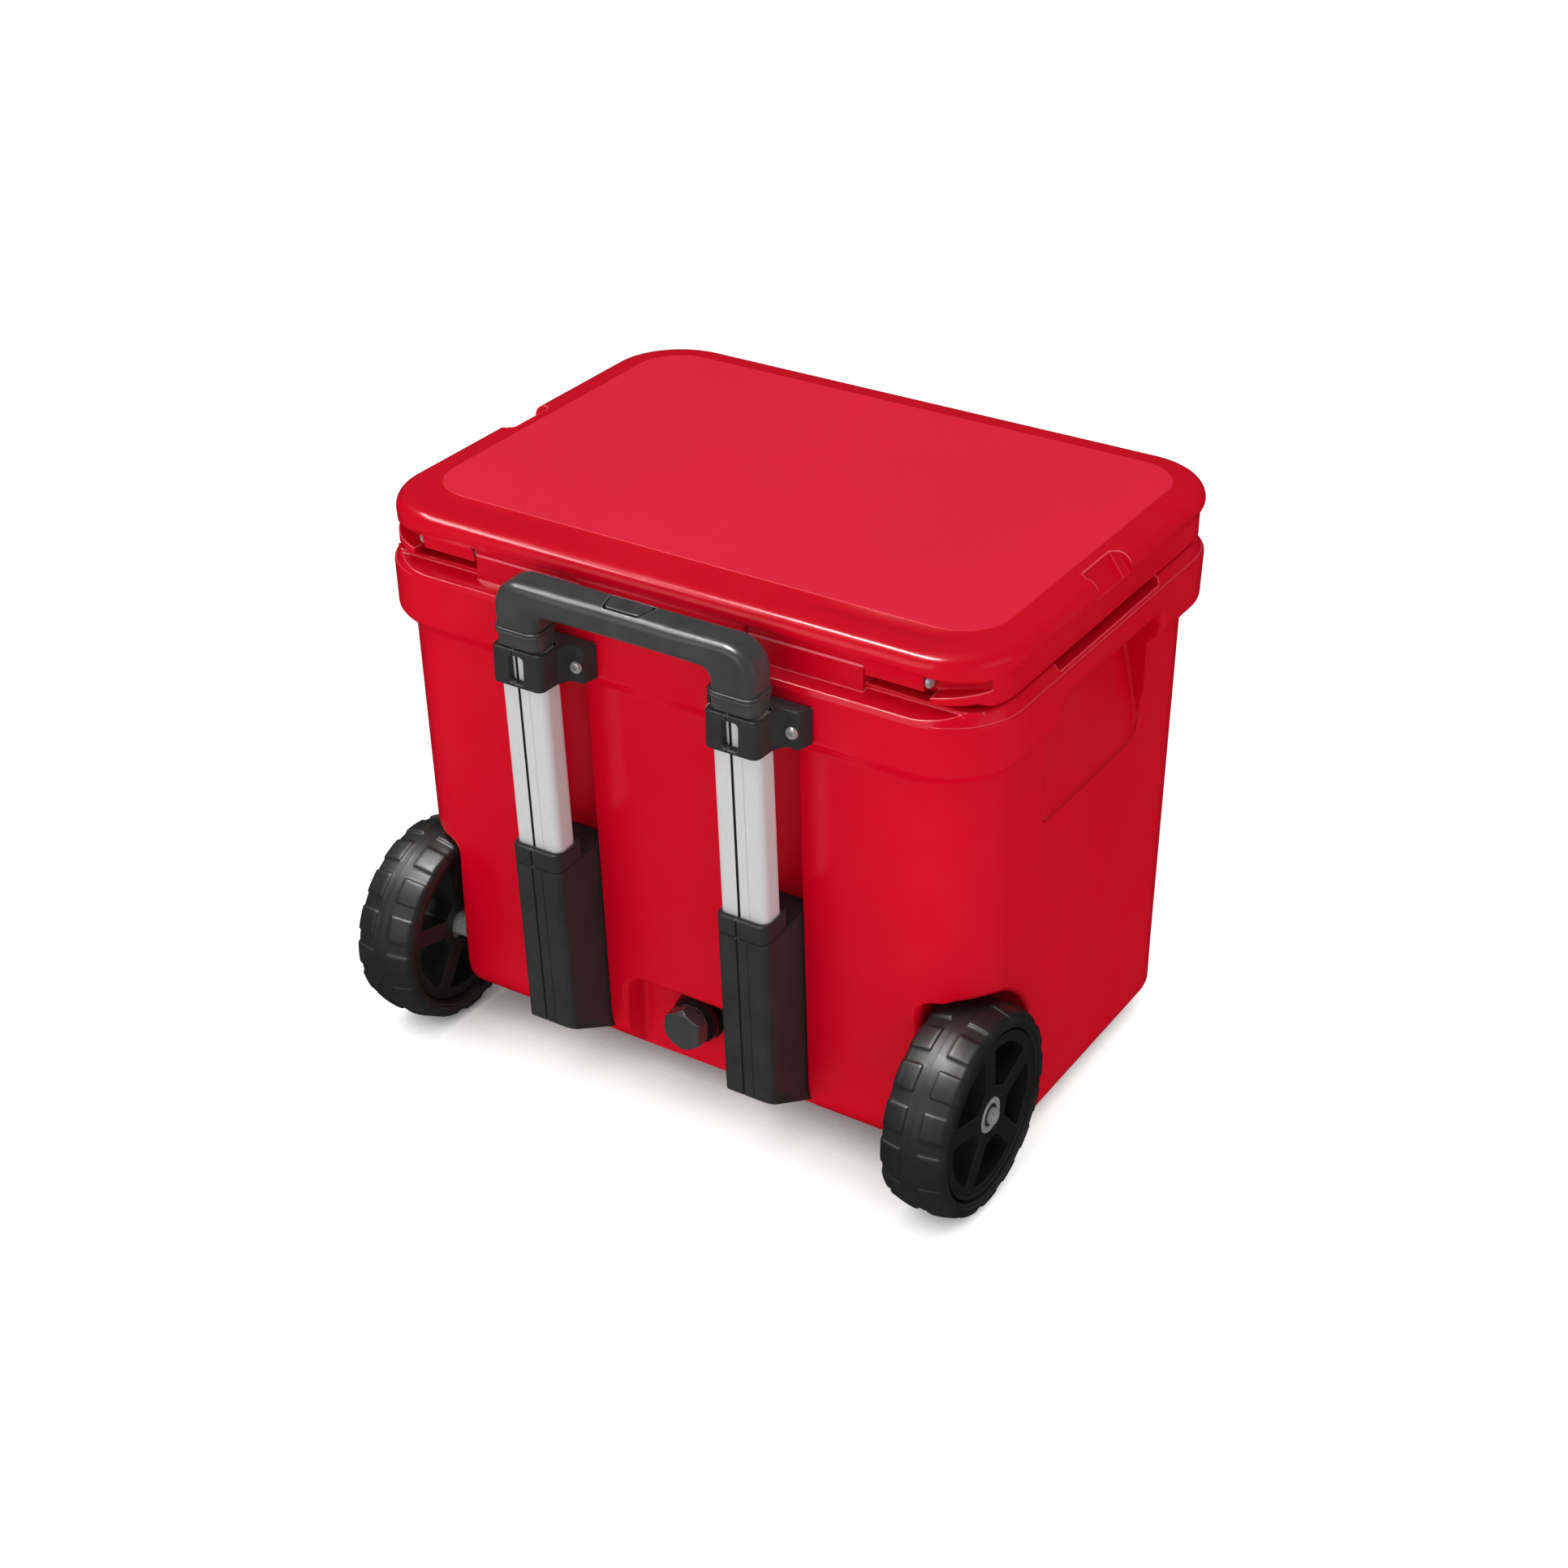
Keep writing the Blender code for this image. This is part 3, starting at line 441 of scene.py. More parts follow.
def black(name, colour, rough, grain_scale, grain, edge, shine):
    """Moulded black plastic or rubber. edge is a lighter colour painted onto its upper edges as a highlight.
    """
    n = Nodes(name)
    n.set("Specular IOR Level", shine)
    fine = n.noise(grain_scale, 3, 0.6)
    low, high = rough
    base = n.mix(n.span(n.noise(30.0, 4), 0.0, 1.0), colour, tuple(c * 1.3 for c in colour))
    # Painted highlight: the edge colour is mixed into the base colour on edges that face up.
    n.set("Base Color", n.mix(n.span(n.painted_highlight_mask(0.0014), 0.0, 1.0, 0.0, 0.8), base, edge))
    n.set("Roughness", n.span(n.noise(60.0, 5), low, high))
    n.set("Normal", n.bump(fine, grain, 0.0002, n.soft(0.0007)))
    return n.material


def aluminium():
    n = Nodes("satin_aluminium")
    streaks = n.noise(1800.0, 3, 0.6, stretch=(1.0, 1.0, 0.006))
    n.set("Base Color", n.mix(n.span(streaks, 0.0, 1.0), (0.60, 0.60, 0.605), (0.66, 0.66, 0.665)))
    n.set("Metallic", 0.12)
    n.set("Specular IOR Level", 0.3)
    n.set("Roughness", n.span(streaks, 0.38, 0.48))
    n.set("Normal", n.bump(streaks, 0.04, 0.0001, n.soft(0.0005)))
    return n.material


def steel():
    n = Nodes("zinc_steel")
    rings = n.noise(300.0, 4, 0.6)
    n.set("Base Color", n.mix(n.span(rings, 0.0, 1.0), (0.66, 0.66, 0.66), (0.5, 0.5, 0.51)))
    n.set("Metallic", 0.6)
    n.set("Roughness", n.span(n.noise(90.0, 4), 0.2, 0.36))
    n.set("Normal", n.bump(rings, 0.08, 0.0002))
    return n.material


def seal():
    n = Nodes("grey_seal")
    n.set("Base Color", n.mix(n.span(n.noise(60.0, 3), 0.0, 1.0), (0.16, 0.16, 0.165), (0.12, 0.12, 0.125)))
    n.set("Roughness", n.span(n.noise(200.0, 3), 0.55, 0.75))
    n.set("Normal", n.bump(n.noise(700.0, 3), 0.2, 0.0003))
    return n.material


RED, MATTE = red_gloss(), red_matte()
BLACK = black("black_plastic", (0.026, 0.026, 0.0262), (0.32, 0.42), 900.0, 0.14, (0.3, 0.3, 0.3), 0.14)
GLOSS = black("black_gloss", (0.006, 0.006, 0.006), (0.12, 0.2), 500.0, 0.04, (0.2, 0.2, 0.2), 0.5)
GRIP = black("charcoal_grip", (0.043, 0.043, 0.0435), (0.27, 0.36), 1500.0, 0.14, (0.3, 0.3, 0.3), 0.6)
RUBBER = black("tyre_rubber", (0.014, 0.014, 0.014), (0.36, 0.46), 1600.0, 0.3, (0.09, 0.09, 0.09), 0.5)
RIM = black("rim_plastic", (0.011, 0.011, 0.0115), (0.34, 0.46), 1100.0, 0.2, (0.05, 0.05, 0.05), 0.3)
ALUMINIUM, STEEL, SEAL = aluminium(), steel(), seal()


# ---------------------------------------------------------------- tub
BASE_Z, FULL_Z, COLLAR_Z = 17.0, 69.0, 415.0
HINGE_Y, HINGE_Z = 209.5, 506.5
TUBE_X = 105.4
LATCH_X, LATCH_W, LATCH_Y, LATCH_Z, LATCH_TOP = 150.0, 62.0, -220.0, 438.0, 519.0
DRAIN_X, DRAIN_Z, DRAIN_FACE = -7.0, 85.0, 178.0
AXLE_Y, AXLE_Z, WHEEL_X = 187.0, 96.3, 309.0
WELL_R, WALL_CORNER_R = 104.0, 57.5
KNUCKLE_X = (83.5, 190.5)
PLATFORM_X, PLATFORM_Y, PLATFORM_Z = 187.0, (196.5, 208.8), 488.7
TIE_SLOT_Y = (-92.0, 96.0)


def smooth(t):
    t = np.clip(t, 0, 1)
    return t * t * (3 - 2 * t)


def rise(z):
    return np.clip((z - FULL_Z) / (COLLAR_Z - FULL_Z), 0, 1)


def swell(z):
    return smooth((z - COLLAR_Z) / 18)


def side_x(z):
    return 291.5 + 0.5 * rise(z) + 14.5 * swell(z)


def rear_y(z):
    return 199 + 16.5 * rise(z) + 11.5 * swell(z)


def front_y(z):
    return 200.5 + 10.5 * rise(z) + 15 * swell(z)


def on_rear(outline, floor, lip, foot, draft=0.0):
    """A cutter sunk into the rear wall from an (x, z) outline."""
    rings = pocket_rings(outline, lambda p: rear_y(p[:, 1]), floor, lip, foot, draft)
    return loft(swap(rings, "xzy"))


def on_side(side, outline, floor, lip, foot, draft=0.0):
    """A cutter sunk into a side wall from a (y, z) outline."""
    rings = pocket_rings(outline, lambda p: side_x(p[:, 1]), floor, lip, foot, draft)
    points, faces = loft(swap(rings, "zxy"))
    points[:, 0] *= side
    return points, faces


def span(side, low, high):
    return sorted((side * low, side * high))


def along_x(outline, low, high):
    """A (y, z) outline extruded along X."""
    return prism(outline, low, high, "zxy")


def along_y(outline, low, high):
    """An (x, z) outline extruded along Y."""
    return prism(outline, low, high, "xzy")


def tub_rings():
    """From the base up the outside, over the seat and down into the cavity. Each row is a height, the
    reach to the sides, front and rear, and the corner radius."""
    rows = []
    for dz in (0, 0.5, 1.8, 4, 7, 10, 13, 20, 28, 38, 52):
        side = 13 - math.sqrt(169 - (13 - min(dz, 13)) ** 2)
        rear = 62 * (1 - math.sqrt(1 - (1 - dz / 52) ** 2))
        rows.append((BASE_Z + dz, 291.5 - side, 200.5 - side, 199 - rear, 56 - side))
    for z in [150, 240, 330, COLLAR_Z] + [COLLAR_Z + 2.25 * k for k in range(1, 9)]:
        rows.append((z, side_x(z), front_y(z), rear_y(z), 56 + 4 * rise(z) + 10 * swell(z)))
    for degrees in (0, 22, 45, 67, 90):
        t = math.radians(degrees)
        inset = 3 * (1 - math.cos(t))
        rows.append((472 + 3 * math.sin(t), 307.5 - inset, 227 - inset, 228 - 0.3 * inset, 71 - inset))
    rows += [(477.6, 303, 223.6, 226.2, 66.4), (482.6, 300.4, 221.8, 223.5, 63.6)]
    rows += [(484.3, 299.2, 220.8, 222, 62.4), (485, 297, 218.6, 219, 60.2)]
    rows += [(485, 243, 181, 159, 48), (484.3, 241.2, 179.2, 157.2, 46.2), (482.6, 240.4, 178.4, 156.4, 45.4)]
    for degrees in (0, 22, 45, 67, 90):
        t = math.radians(degrees)
        inset = 14 * (1 - math.cos(t))
        rows.append((90 - 14 * math.sin(t), 212 - inset, 150 - inset, 132 - inset, 36 - inset))
    return [flat(oblong(x, front, rear, corner), z) for z, x, front, rear, corner in rows]


def wheel_well(side):
    arch = [(AXLE_Y - WELL_R, -60)] + arc(AXLE_Y, AXLE_Z, WELL_R, 180, 90, 32)
    arch += [(330, AXLE_Z + WELL_R), (330, -60)]
    inner = on_side(side, arch[::-1], 244, 5, 8)
    corner = rounded(243.6, 430, -90, 200.7, [1, 1, 1, 15], 8)
    rear = on_rear(corner if side > 0 else mirrored(corner), 188, 7, 1)
    return [inner, rear, corner_lip(side)]


def corner_lip(side):
    """Rounds the lower edge of the wall where it turns the corner over the wheel."""
    radius = WALL_CORNER_R
    cx, cy = 291.7 - radius, 205.2 - radius
    rings = []
    for degrees in np.linspace(64, -8, 20):
        t = math.radians(degrees)
        y = cy + radius * math.sin(t)
        low = AXLE_Z - 0.4 + (math.sqrt(WELL_R**2 - (AXLE_Y - y) ** 2) if y < AXLE_Y else WELL_R)
        lip = 1.2 + 5.8 * float(smooth((64 - degrees) / 16))
        first = math.radians(14)
        section = [(2, low + lip * (1 - math.sin(first)) + 8)]
        for k in (14, 32, 52, 71, 90):
            a = math.radians(k)
            section.append((-lip * (1 - math.cos(a)), low + lip * (1 - math.sin(a))))
        section += [(-lip, low - 4), (8, low - 4), (8, low + lip + 6)]
        ways = side * math.cos(t), math.sin(t)
        ring = [(side * cx + (radius + n) * ways[0], cy + (radius + n) * ways[1], z) for n, z in section]
        rings.append(np.array(ring))
    return loft(rings)


def hand_pocket(side):
    """Shallow at the bottom and deep under the collar."""
    outline = rounded(-97, 90, 327, 450, [26, 12, 14, 16], 8)
    return on_side(side, outline, lambda p: 289 - 27 * (p[:, 1] - 327) / 123, 6, 4)


def channel(side):
    """The upright channel behind one tube of the pull handle."""
    outline = rounded(side * TUBE_X - 26.5, side * TUBE_X + 26.5, -60, 432, 5)
    return on_rear(outline, lambda p: 191 + 0.055 * (p[:, 1] - 300), 6, 4)


def rear_ledge():
    """The step behind the seat. It slopes a little to the collar's edge and has a rounded foot."""
    slope = 0.34
    outline = [(250, 482.4 - slope * 36), (250, 503), (206, 503), (206, 486.5), (207.5, 485.2), (209.5, 484)]
    outline.append((214, 482.4))
    return along_x(outline, -300, 300)


def knuckle(side):
    outline = fillet([(198.5, 468), (214, 468), (214, 512.6), (198.5, 512.6)], [0, 0, 1.8, 4])
    return along_x(outline, *span(side, *KNUCKLE_X))


def platform(side):
    """The raised part of the seat beside a knuckle."""
    bend, cx, cy = 66.8, 236.5, 157.0
    low, high = (math.degrees(math.asin((y - cy) / bend)) for y in PLATFORM_Y)
    front, rear = PLATFORM_Y
    outline = [(PLATFORM_X, front)] + arc(cx, cy, bend, low, high, 5) + [(PLATFORM_X, rear)]

    def top(p):
        return PLATFORM_Z - 3.2 * smooth((np.abs(p[:, 0]) - 264) / 28)

    return loft(soft_rings(outline if side > 0 else mirrored(outline), 478, top, 0, 1.6))


def pin_bore(end):
    radius = 4.4
    profile = [(0, -end), (radius, -end), (radius, end), (0, end)]
    return turned(profile, (0, HINGE_Y, HINGE_Z), "X", 24)


def make_tub():
    tub = mesh_object("tub", loft(tub_rings()))
    tools = [rear_ledge()]
    for side in (-1, 1):
        tools += wheel_well(side)
        tools += [hand_pocket(side), channel(side)]
        slot = rounded(*TIE_SLOT_Y, 478, 520, [5, 5, 1, 1])
        points, faces = along_x(slot, 284, 340)
        points[:, 0] *= side
        tools.append((points, faces))
        x = side * LATCH_X
        tools.append(along_y(rounded(x - 33, x + 33, 410, 453, 5), -245, -209))
    tools.append(on_rear(rounded(-64, 60, -60, 113, 18), 178, 7, 5, 4))
    tools.append(turned([(0, 100), (11.4, 100), (11.4, 220), (0, 220)], (DRAIN_X, 0, DRAIN_Z), "Y", 48))
    cut(tub, *tools)
    join(tub, *[shape(side) for side in (-1, 1) for shape in (knuckle, platform)])
    cut(tub, pin_bore(262))
    dress(tub, RED, "chest", ["tub_shell"])


# ---------------------------------------------------------------- lid
def lid_ring(z, half_x, front, rear, corner):
    return flat(oblong(half_x, front, rear, corner, 20, 40), z)


def lid_rings():
    """From the plug in the tub's mouth, over the seal's groove, out to the skirt and up over the top. A
    lens-shaped hollow lies behind the top panel on each side, shallower on the left."""
    rows = [(467, 229, 167, 145, 34), (467.9, 231.3, 169.3, 147.3, 36.3), (470, 232.3, 170.3, 148.3, 37.3)]
    rows.append((485.35, 237, 175, 153, 42))
    for grow, z in ((3.6, 485.35), (3.6, 488.8), (12.4, 488.8), (12.4, 485.35)):
        rows.append((z, 240 + grow, 178 + grow, 156 + grow, 45 + grow))
    rows += [(485.35, 295.5, 217.5, 210.5, 53), (485.9, 297.6, 219.6, 213.5, 54.5)]
    rows.append((487, 298.4, 220.4, 217, 55.5))
    rows += [(488.8, 298.5, 220.5, 220.5, 56), (500, 298.5, 220.5, 220.5, 56)]
    for k in range(7):
        s = float(smooth(k / 6))
        rows.append((507 + 14 * k / 6, 298.5 + 6.5 * s, 220.5 + 7.5 * s, 220.5 + 4 * s, 56 + 16 * s))
    for degrees in range(12, 91, 13):
        t = math.radians(degrees)
        inset = 12 * (1 - math.cos(t))
        rows.append((521 + 12.6 * math.sin(t), 305 - inset, 228 - inset, 224.5 - inset, 72 - inset))
    rings = [lid_ring(*row) for row in rows]
    for u in np.linspace(0.08, 1, 12):
        side, rear = 12 + 16.5 * u, 12 + 35.5 * u
        ring = lid_ring(533.6 + 1.05 * u, 305 - side, 228 - side, 224.5 - rear, 60 - 15 * u)
        reach = np.clip((np.abs(ring[:, 0]) - 110) / 155, 0, 1)
        lens = np.sin(math.pi * reach) ** 0.6 * smooth((ring[:, 1] - 110) / 50)
        lens *= np.where(ring[:, 0] < 0, 1, 0.35)
        across = math.sin(math.pi * float(np.clip((u - 0.3) / 0.7, 0, 1)) ** 1.8)
        ring[:, 2] -= 2.6 * lens * across
        rings.append(ring)
    for z, side, rear in ((534.8, 28.8, 47.9), (535.3, 29.3, 48.5), (535.5, 30.1, 49.4)):
        rings.append(lid_ring(z, 305 - side, 228 - side, 224.5 - rear, 44.5))
    return rings


LUG_END = 253.0


def lid_relief():
    """The hollow run along the foot of the lid's rear face, over the hinge."""
    curve = [(226.5, 521.5), (223.2, 518.4), (220.4, 515.3), (217.9, 511.5), (216, 507.5), (214.9, 503.5)]
    outline = [(245, 521.5)] + curve + [(214.5, 500), (214.5, 470), (245, 470)]
    return along_x(outline, -LUG_END, LUG_END)


def pin_scoop(side):
    """The pocket beside the pin's head. It runs out towards the corner."""
    rings = []
    for x, y, low, high in ((245.5, 203, 497.5, 515.5), (255, 204, 498, 515), (292, 187, 502, 511)):
        outline = rounded(y, 250, low, high, 2.5, 4)
        rings.append(flat(outline, side * x))
    return loft(swap(rings, "zxy"))


def side_notch(side):
    """The tie-down scoop in the lid's side edge, with a steep lower facet and a flat upper one."""
    rings = []
    for y, inset in ((-26, 6), (-21, 0), (29, 0), (34, 6)):
        outline = [(301 + inset, 512), (318, 512), (318, 550), (285.5 + inset, 550), (286.5 + inset, 532)]
        rings.append(flat([(side * x, z) for x, z in outline], y))
    return loft(swap(rings, "xzy"))


def make_lid():
    lid = mesh_object("lid", loft(lid_rings()))
    under = along_x([(184, 470), (250, 470), (250, 492.6), (200, 492.6), (184, 485.2)], -303, 303)
    tools = [lid_relief(), under, block(-LUG_END - 0.5, LUG_END + 0.5, 196, 250, 470, 498.6)]
    for side in (-1, 1):
        room = fillet([(196.8, 470), (250, 470), (250, 514.4), (196.8, 514.4)], [0, 0, 0, 5])
        tools.append(along_x(room, *span(side, KNUCKLE_X[0] - 1.5, KNUCKLE_X[1] + 1.5)))
        tools += [pin_scoop(side), side_notch(side)]
        x = side * LATCH_X
        tools.append(along_y(rounded(x - 33, x + 33, 495, 513, 4), -250, -216.5))
    tools.append(pin_bore(249.5))
    cut(lid, *tools)
    dress(lid, [RED, MATTE], "lid", ["lid_shell"])
    paint(lid, 1, lambda x, y, z, normal: z > 535.0 and normal.z > 0.6)


def make_pins():
    profile = [(0, 60), (4, 60), (4, 246.5), (5.4, 246.5), (5.8, 247), (5.8, 248.6), (5.2, 250)]
    profile += [(3.6, 250.8), (0, 251.2)]
    for side, hand in ((1, "left"), (-1, "right")):
        points, faces = turned(profile, (0, HINGE_Y, HINGE_Z), "X", 40)
        points[:, 0] *= side
        pin = mesh_object(f"pin_{hand}", (points, faces))
        dress(pin, STEEL, "chest", [f"hinge_pin_{hand}"])


# ---------------------------------------------------------------- pull handle
OUTER_X, OUTER_Y, WALL, STAGE = 46.0, 26.0, 2.0, 2.7
GROOVE_X, LINE_X = 3.2, -7.0
HOUSING_TOP, CAP_H, HOUSING_REAR = 267.5, 18.5, 268.5
GRIP_TOP, GRIP_DEPTH, GRIP_LEG, BAR_H, LIP_Z = 528.0, 34.0, 43.0, 27.0, 482.5


def tube_outline(side, inset, grow=0.0, notches=()):
    """A tube's section. Each notch is (offset in x, width, depth) in its rear face."""
    cx = side * TUBE_X
    half_x, half_y = OUTER_X / 2 - inset + grow, OUTER_Y / 2 - inset + grow
    radius = max(7 - inset, 2) + grow
    outline = rounded(cx - half_x, cx + half_x, LEAN_Y - half_y, LEAN_Y + half_y, radius, 8)
    rear = LEAN_Y + half_y
    steps = []
    for offset, width, depth in sorted(notches, reverse=True):
        x = cx + offset
        half, foot = width / 2, width / 2 - 0.15
        steps += [(x + half, rear), (x + foot, rear - depth), (x - foot, rear - depth), (x - half, rear)]
    at = len(outline) // 2
    return outline[:at] + steps + outline[at:]


def make_tube(name, side, inset, low, high, body, node, grooved):
    notches = ((GROOVE_X, 1.6, 0.7), (LINE_X, 0.5, 0.3))
    if grooved:
        notches = ((GROOVE_X, 2.6, 1.8), (LINE_X, 0.8, 0.4))
    plain = tuple((x, width, 0.0) for x, width, depth in notches)
    outer = tube_outline(side, inset, notches=notches)
    bore = tube_outline(side, inset + WALL, notches=plain)
    rings = [flat(outer, low), flat(outer, high), flat(bore, high), flat(bore, low)]
    tube = mesh_object(name, leaned(loft(rings, loop=True)))
    dress(tube, [ALUMINIUM, BLACK], body, [node], sharp=30)
    rear = OUTER_Y / 2 - inset

    # Painted shade: the faces inside the rear groove get black plastic, darkening the groove as its shade
    # would.
    def in_groove(x, y, z, normal):
        local = (y - LEAN_Y) * math.cos(LEAN) - (z - LEAN_Z) * math.sin(LEAN)
        return rear - 1.9 < local < rear - 0.1 and abs(x - side * TUBE_X - GROOVE_X) < 2

    paint(tube, 1, in_groove)


def make_housing(side, hand):
    cx = side * TUBE_X
    top = HOUSING_TOP - CAP_H
    outline = rounded(cx - 25, cx + 25, 191.4, HOUSING_REAR, [3, 3, 8.5, 8.5], 10)
    shell = mesh_object(f"housing_{hand}", leaned(loft(soft_rings(outline, 16, top - 0.3, 1, 1.2))))
    slope = along_x([(140, 0), (320, 0), (320, 115), (150, 24), (140, 24)], cx - 60, cx + 60)
    hole = leaned(prism(tube_outline(side, 0, 0.5), 92, top + 20))
    groove = leaned(block(cx + GROOVE_X - 1.1, cx + GROOVE_X + 1.1, HOUSING_REAR - 1.8, 290, 0, 300))
    line = leaned(block(cx + LINE_X - 0.3, cx + LINE_X + 0.3, HOUSING_REAR - 0.4, 290, 0, top - 2))
    cut(shell, slope, hole, groove, line)
    dress(shell, BLACK, "chest", [f"handle_housing_{hand}"])
    outline = rounded(cx - 25, cx + 25, LEAN_Y - 17, HOUSING_REAR, [3, 3, 8.5, 8.5], 10)
    cap = mesh_object(f"cap_{hand}", leaned(loft(soft_rings(outline, top + 0.25, HOUSING_TOP, 1, 2.4))))
    cut(cap, leaned(prism(tube_outline(side, 0, 0.5), top - 20, HOUSING_TOP + 20)), groove)
    dress(cap, BLACK, "chest", [f"housing_cap_{hand}"])


def make_clamp(side, hand):
    cx = side * TUBE_X
    low, high, face, ear = 430.5, 465.0, 228.3, 243.8
    half = [(47.5, face), (44.0, ear), (31.5, ear), (26.5, 255), (25.5, 277)]
    points = [(cx + a, b) for a, b in half] + [(cx - a, b) for a, b in reversed(half)]
    outline = fillet(points, [0, 4, 5, 7, 7, 7, 7, 5, 4, 0], 6)
    clamp = mesh_object(f"clamp_{hand}", loft(soft_rings(outline, low, high, 1.6, 2.2)))
    tools = [leaned(prism(tube_outline(side, 0, 0.5), low - 20, high + 20))]
    window = rounded(cx - 7, cx + 6.5, 435, 459, 3)
    flare = grown(window, 2.5)
    tools.append(loft(swap([flat(window, 262), flat(window, 275), flat(flare, 279)], "xzy")))
    slit = cx + GROOVE_X
    for z0, z1 in ((low - 3, 436), (458, high + 3)):
        tools.append(block(slit - 0.6, slit + 0.6, 274, 290, z0, z1))
    for turn in (-1, 1):
        x = cx + turn * 38
        tools.append(turned([(0, 220), (3.3, 220), (3.3, ear + 2), (0, ear + 2)], (x, 0, 446), "Y", 32))
    cut(clamp, *tools)
    dress(clamp, BLACK, "chest", [f"tube_clamp_{hand}"])
    for turn in (-1, 1):
        seat = ear + 0.2
        x = cx + turn * 38
        profile = [(0, seat - 31), (2.9, seat - 31), (2.9, seat), (5.6, seat), (5.6, seat + 1.2)]
        profile += [(5.1, seat + 2.2), (4.0, seat + 2.9), (2.7, seat + 3.1), (0, seat + 3.1)]
        where = "outer" if side * turn > 0 else "inner"
        screw = mesh_object(f"screw_{hand}_{where}", turned(profile, (x, 0, 446), "Y", 40))
        cut(screw, along_y([(x + a, 446 + b) for a, b in arc(0, 0, 2.2, 0, 300, 5)], seat + 1.2, seat + 8))
        dress(screw, STEEL, "chest", [f"clamp_screw_{hand}_{where}"])


def button_outline(grow=0.0):
    """A trapezium, longer on the side nearer the chest."""
    long, short = 21.5 + grow, 16.5 + grow
    front, rear = LEAN_Y - 8.5 - grow, LEAN_Y + 9.5 + grow
    return fillet([(-long, front), (long, front), (short, rear), (-short, rear)], [3, 3, 4, 4])


def grip_rings():
    """Sections along the left leg, the bar and the right leg."""
    outer, inner, low = TUBE_X + GRIP_LEG / 2, TUBE_X - GRIP_LEG / 2, GRIP_TOP - BAR_H
    bend, crook = 26.0, 9.0
    pairs = [((outer, z), (inner, z)) for z in (LIP_Z + 1, 490)]
    for t in np.radians(np.linspace(0, 90, 15)):
        c, s = math.cos(t), math.sin(t)
        out = (outer - bend + bend * c, GRIP_TOP - bend + bend * s)
        pairs.append((out, (inner - crook + crook * c, low - crook + crook * s)))
    pairs += [((x, GRIP_TOP), (x, low)) for x in (50, 24, 0)]
    pairs += [((-a[0], a[1]), (-b[0], b[1])) for a, b in reversed(pairs[:-1])]
    rings = []
    for out, into in pairs:
        out, into = np.array(out), np.array(into)
        thick = np.linalg.norm(out - into)
        way = (out - into) / thick
        section = rounded(-thick / 2, thick / 2, -GRIP_DEPTH / 2, GRIP_DEPTH / 2, 9.5, 8)
        middle = (out + into) / 2
        rings.append([(middle[0] + a * way[0], LEAN_Y + b, middle[1] + a * way[1]) for a, b in section])
    return rings


def make_grip():
    grip = mesh_object("grip", leaned(loft([np.array(r) for r in grip_rings()])))
    cut(grip, leaned(prism(button_outline(1.7), GRIP_TOP - 9.4, GRIP_TOP + 20)))
    dress(grip, GRIP, "handle_stage_2", ["handle_grip"], sharp=50)
    rings = soft_rings(button_outline(), GRIP_TOP - 5.5, GRIP_TOP + 0.6, 0.3, 1.0)
    button = mesh_object("button", leaned(loft(rings)))
    dress(button, GRIP, "release_button", ["handle_button"])
    for side, hand in ((1, "left"), (-1, "right")):
        cx = side * TUBE_X
        half_x, half_y = GRIP_LEG / 2, GRIP_DEPTH / 2
        for k, (z0, z1) in enumerate(((LIP_Z - 2.7, LIP_Z - 0.2), (LIP_Z + 0.2, LIP_Z + 2.7))):
            outline = rounded(cx - half_x - 2, cx + half_x + 2, LEAN_Y - half_y, LEAN_Y + half_y + 2, 11)
            ring = mesh_object(f"lip_{hand}_{k}", leaned(loft(soft_rings(outline, z0, z1, 0.9, 0.9))))
            dress(ring, GRIP, "handle_stage_2", ())
        neck = rounded(cx - 22.3, cx + 22.3, LEAN_Y - 15.5, LEAN_Y + 16, 9.5)
        socket = tube_outline(side, 2 * STAGE, 0.3)
        foot = mesh_object(f"neck_{hand}", leaned(loft(soft_rings(neck, 466.6, LIP_Z + 1, 1.2, 0.2))))
        cut(foot, leaned(prism(socket, 460, LIP_Z - 4)))
        dress(foot, GRIP, "handle_stage_2", ())


# ---------------------------------------------------------------- wheels
BLOCKS, CROWN_R, BLOCK_H, TYRE_HALF_W = 16, 94.4, 1.9, 30


def tread_sections():
    """Across the tyre: (offset from its middle, radius, direction the blocks rise in, block share)."""
    half = []
    plain = [(x, 0) for x in (0.0, 0.5, 1.2, 4, 7.2)]
    for x, share in plain + [(7.9, 0.5)] + [(x, 1) for x in (8.7, 12, 17, 21.5, 24)]:
        half.append((x, CROWN_R - 6.2 * (x / 30) ** 2.2, (0.0, 1.0), share))
    shoulder = 6
    x0, r0 = 24.0, half[-1][1] - shoulder
    for degrees in (70, 50, 30, 12):
        c, s = math.cos(math.radians(degrees)), math.sin(math.radians(degrees))
        half.append((x0 + shoulder * c, r0 + shoulder * s, (c, s), 1))
    wall = ((30, r0 - 1, 0.9), (30, r0 - 2, 0.5), (29.9, r0 - 2.7, 0), (29.3, 82.6, 0), (28.9, 80.6, 0))
    wall += ((29.3, 80.2, 0), (29.3, 79.4, 0), (28.6, 79.0, 0))
    half += [(x, r, (1.0, 0.0), share) for x, r, share in wall] + [(24, 76.4, (0.0, 0.0), 0)]
    return [(-x, r, (-d[0], d[1]), s) for x, r, d, s in reversed(half[1:])] + half


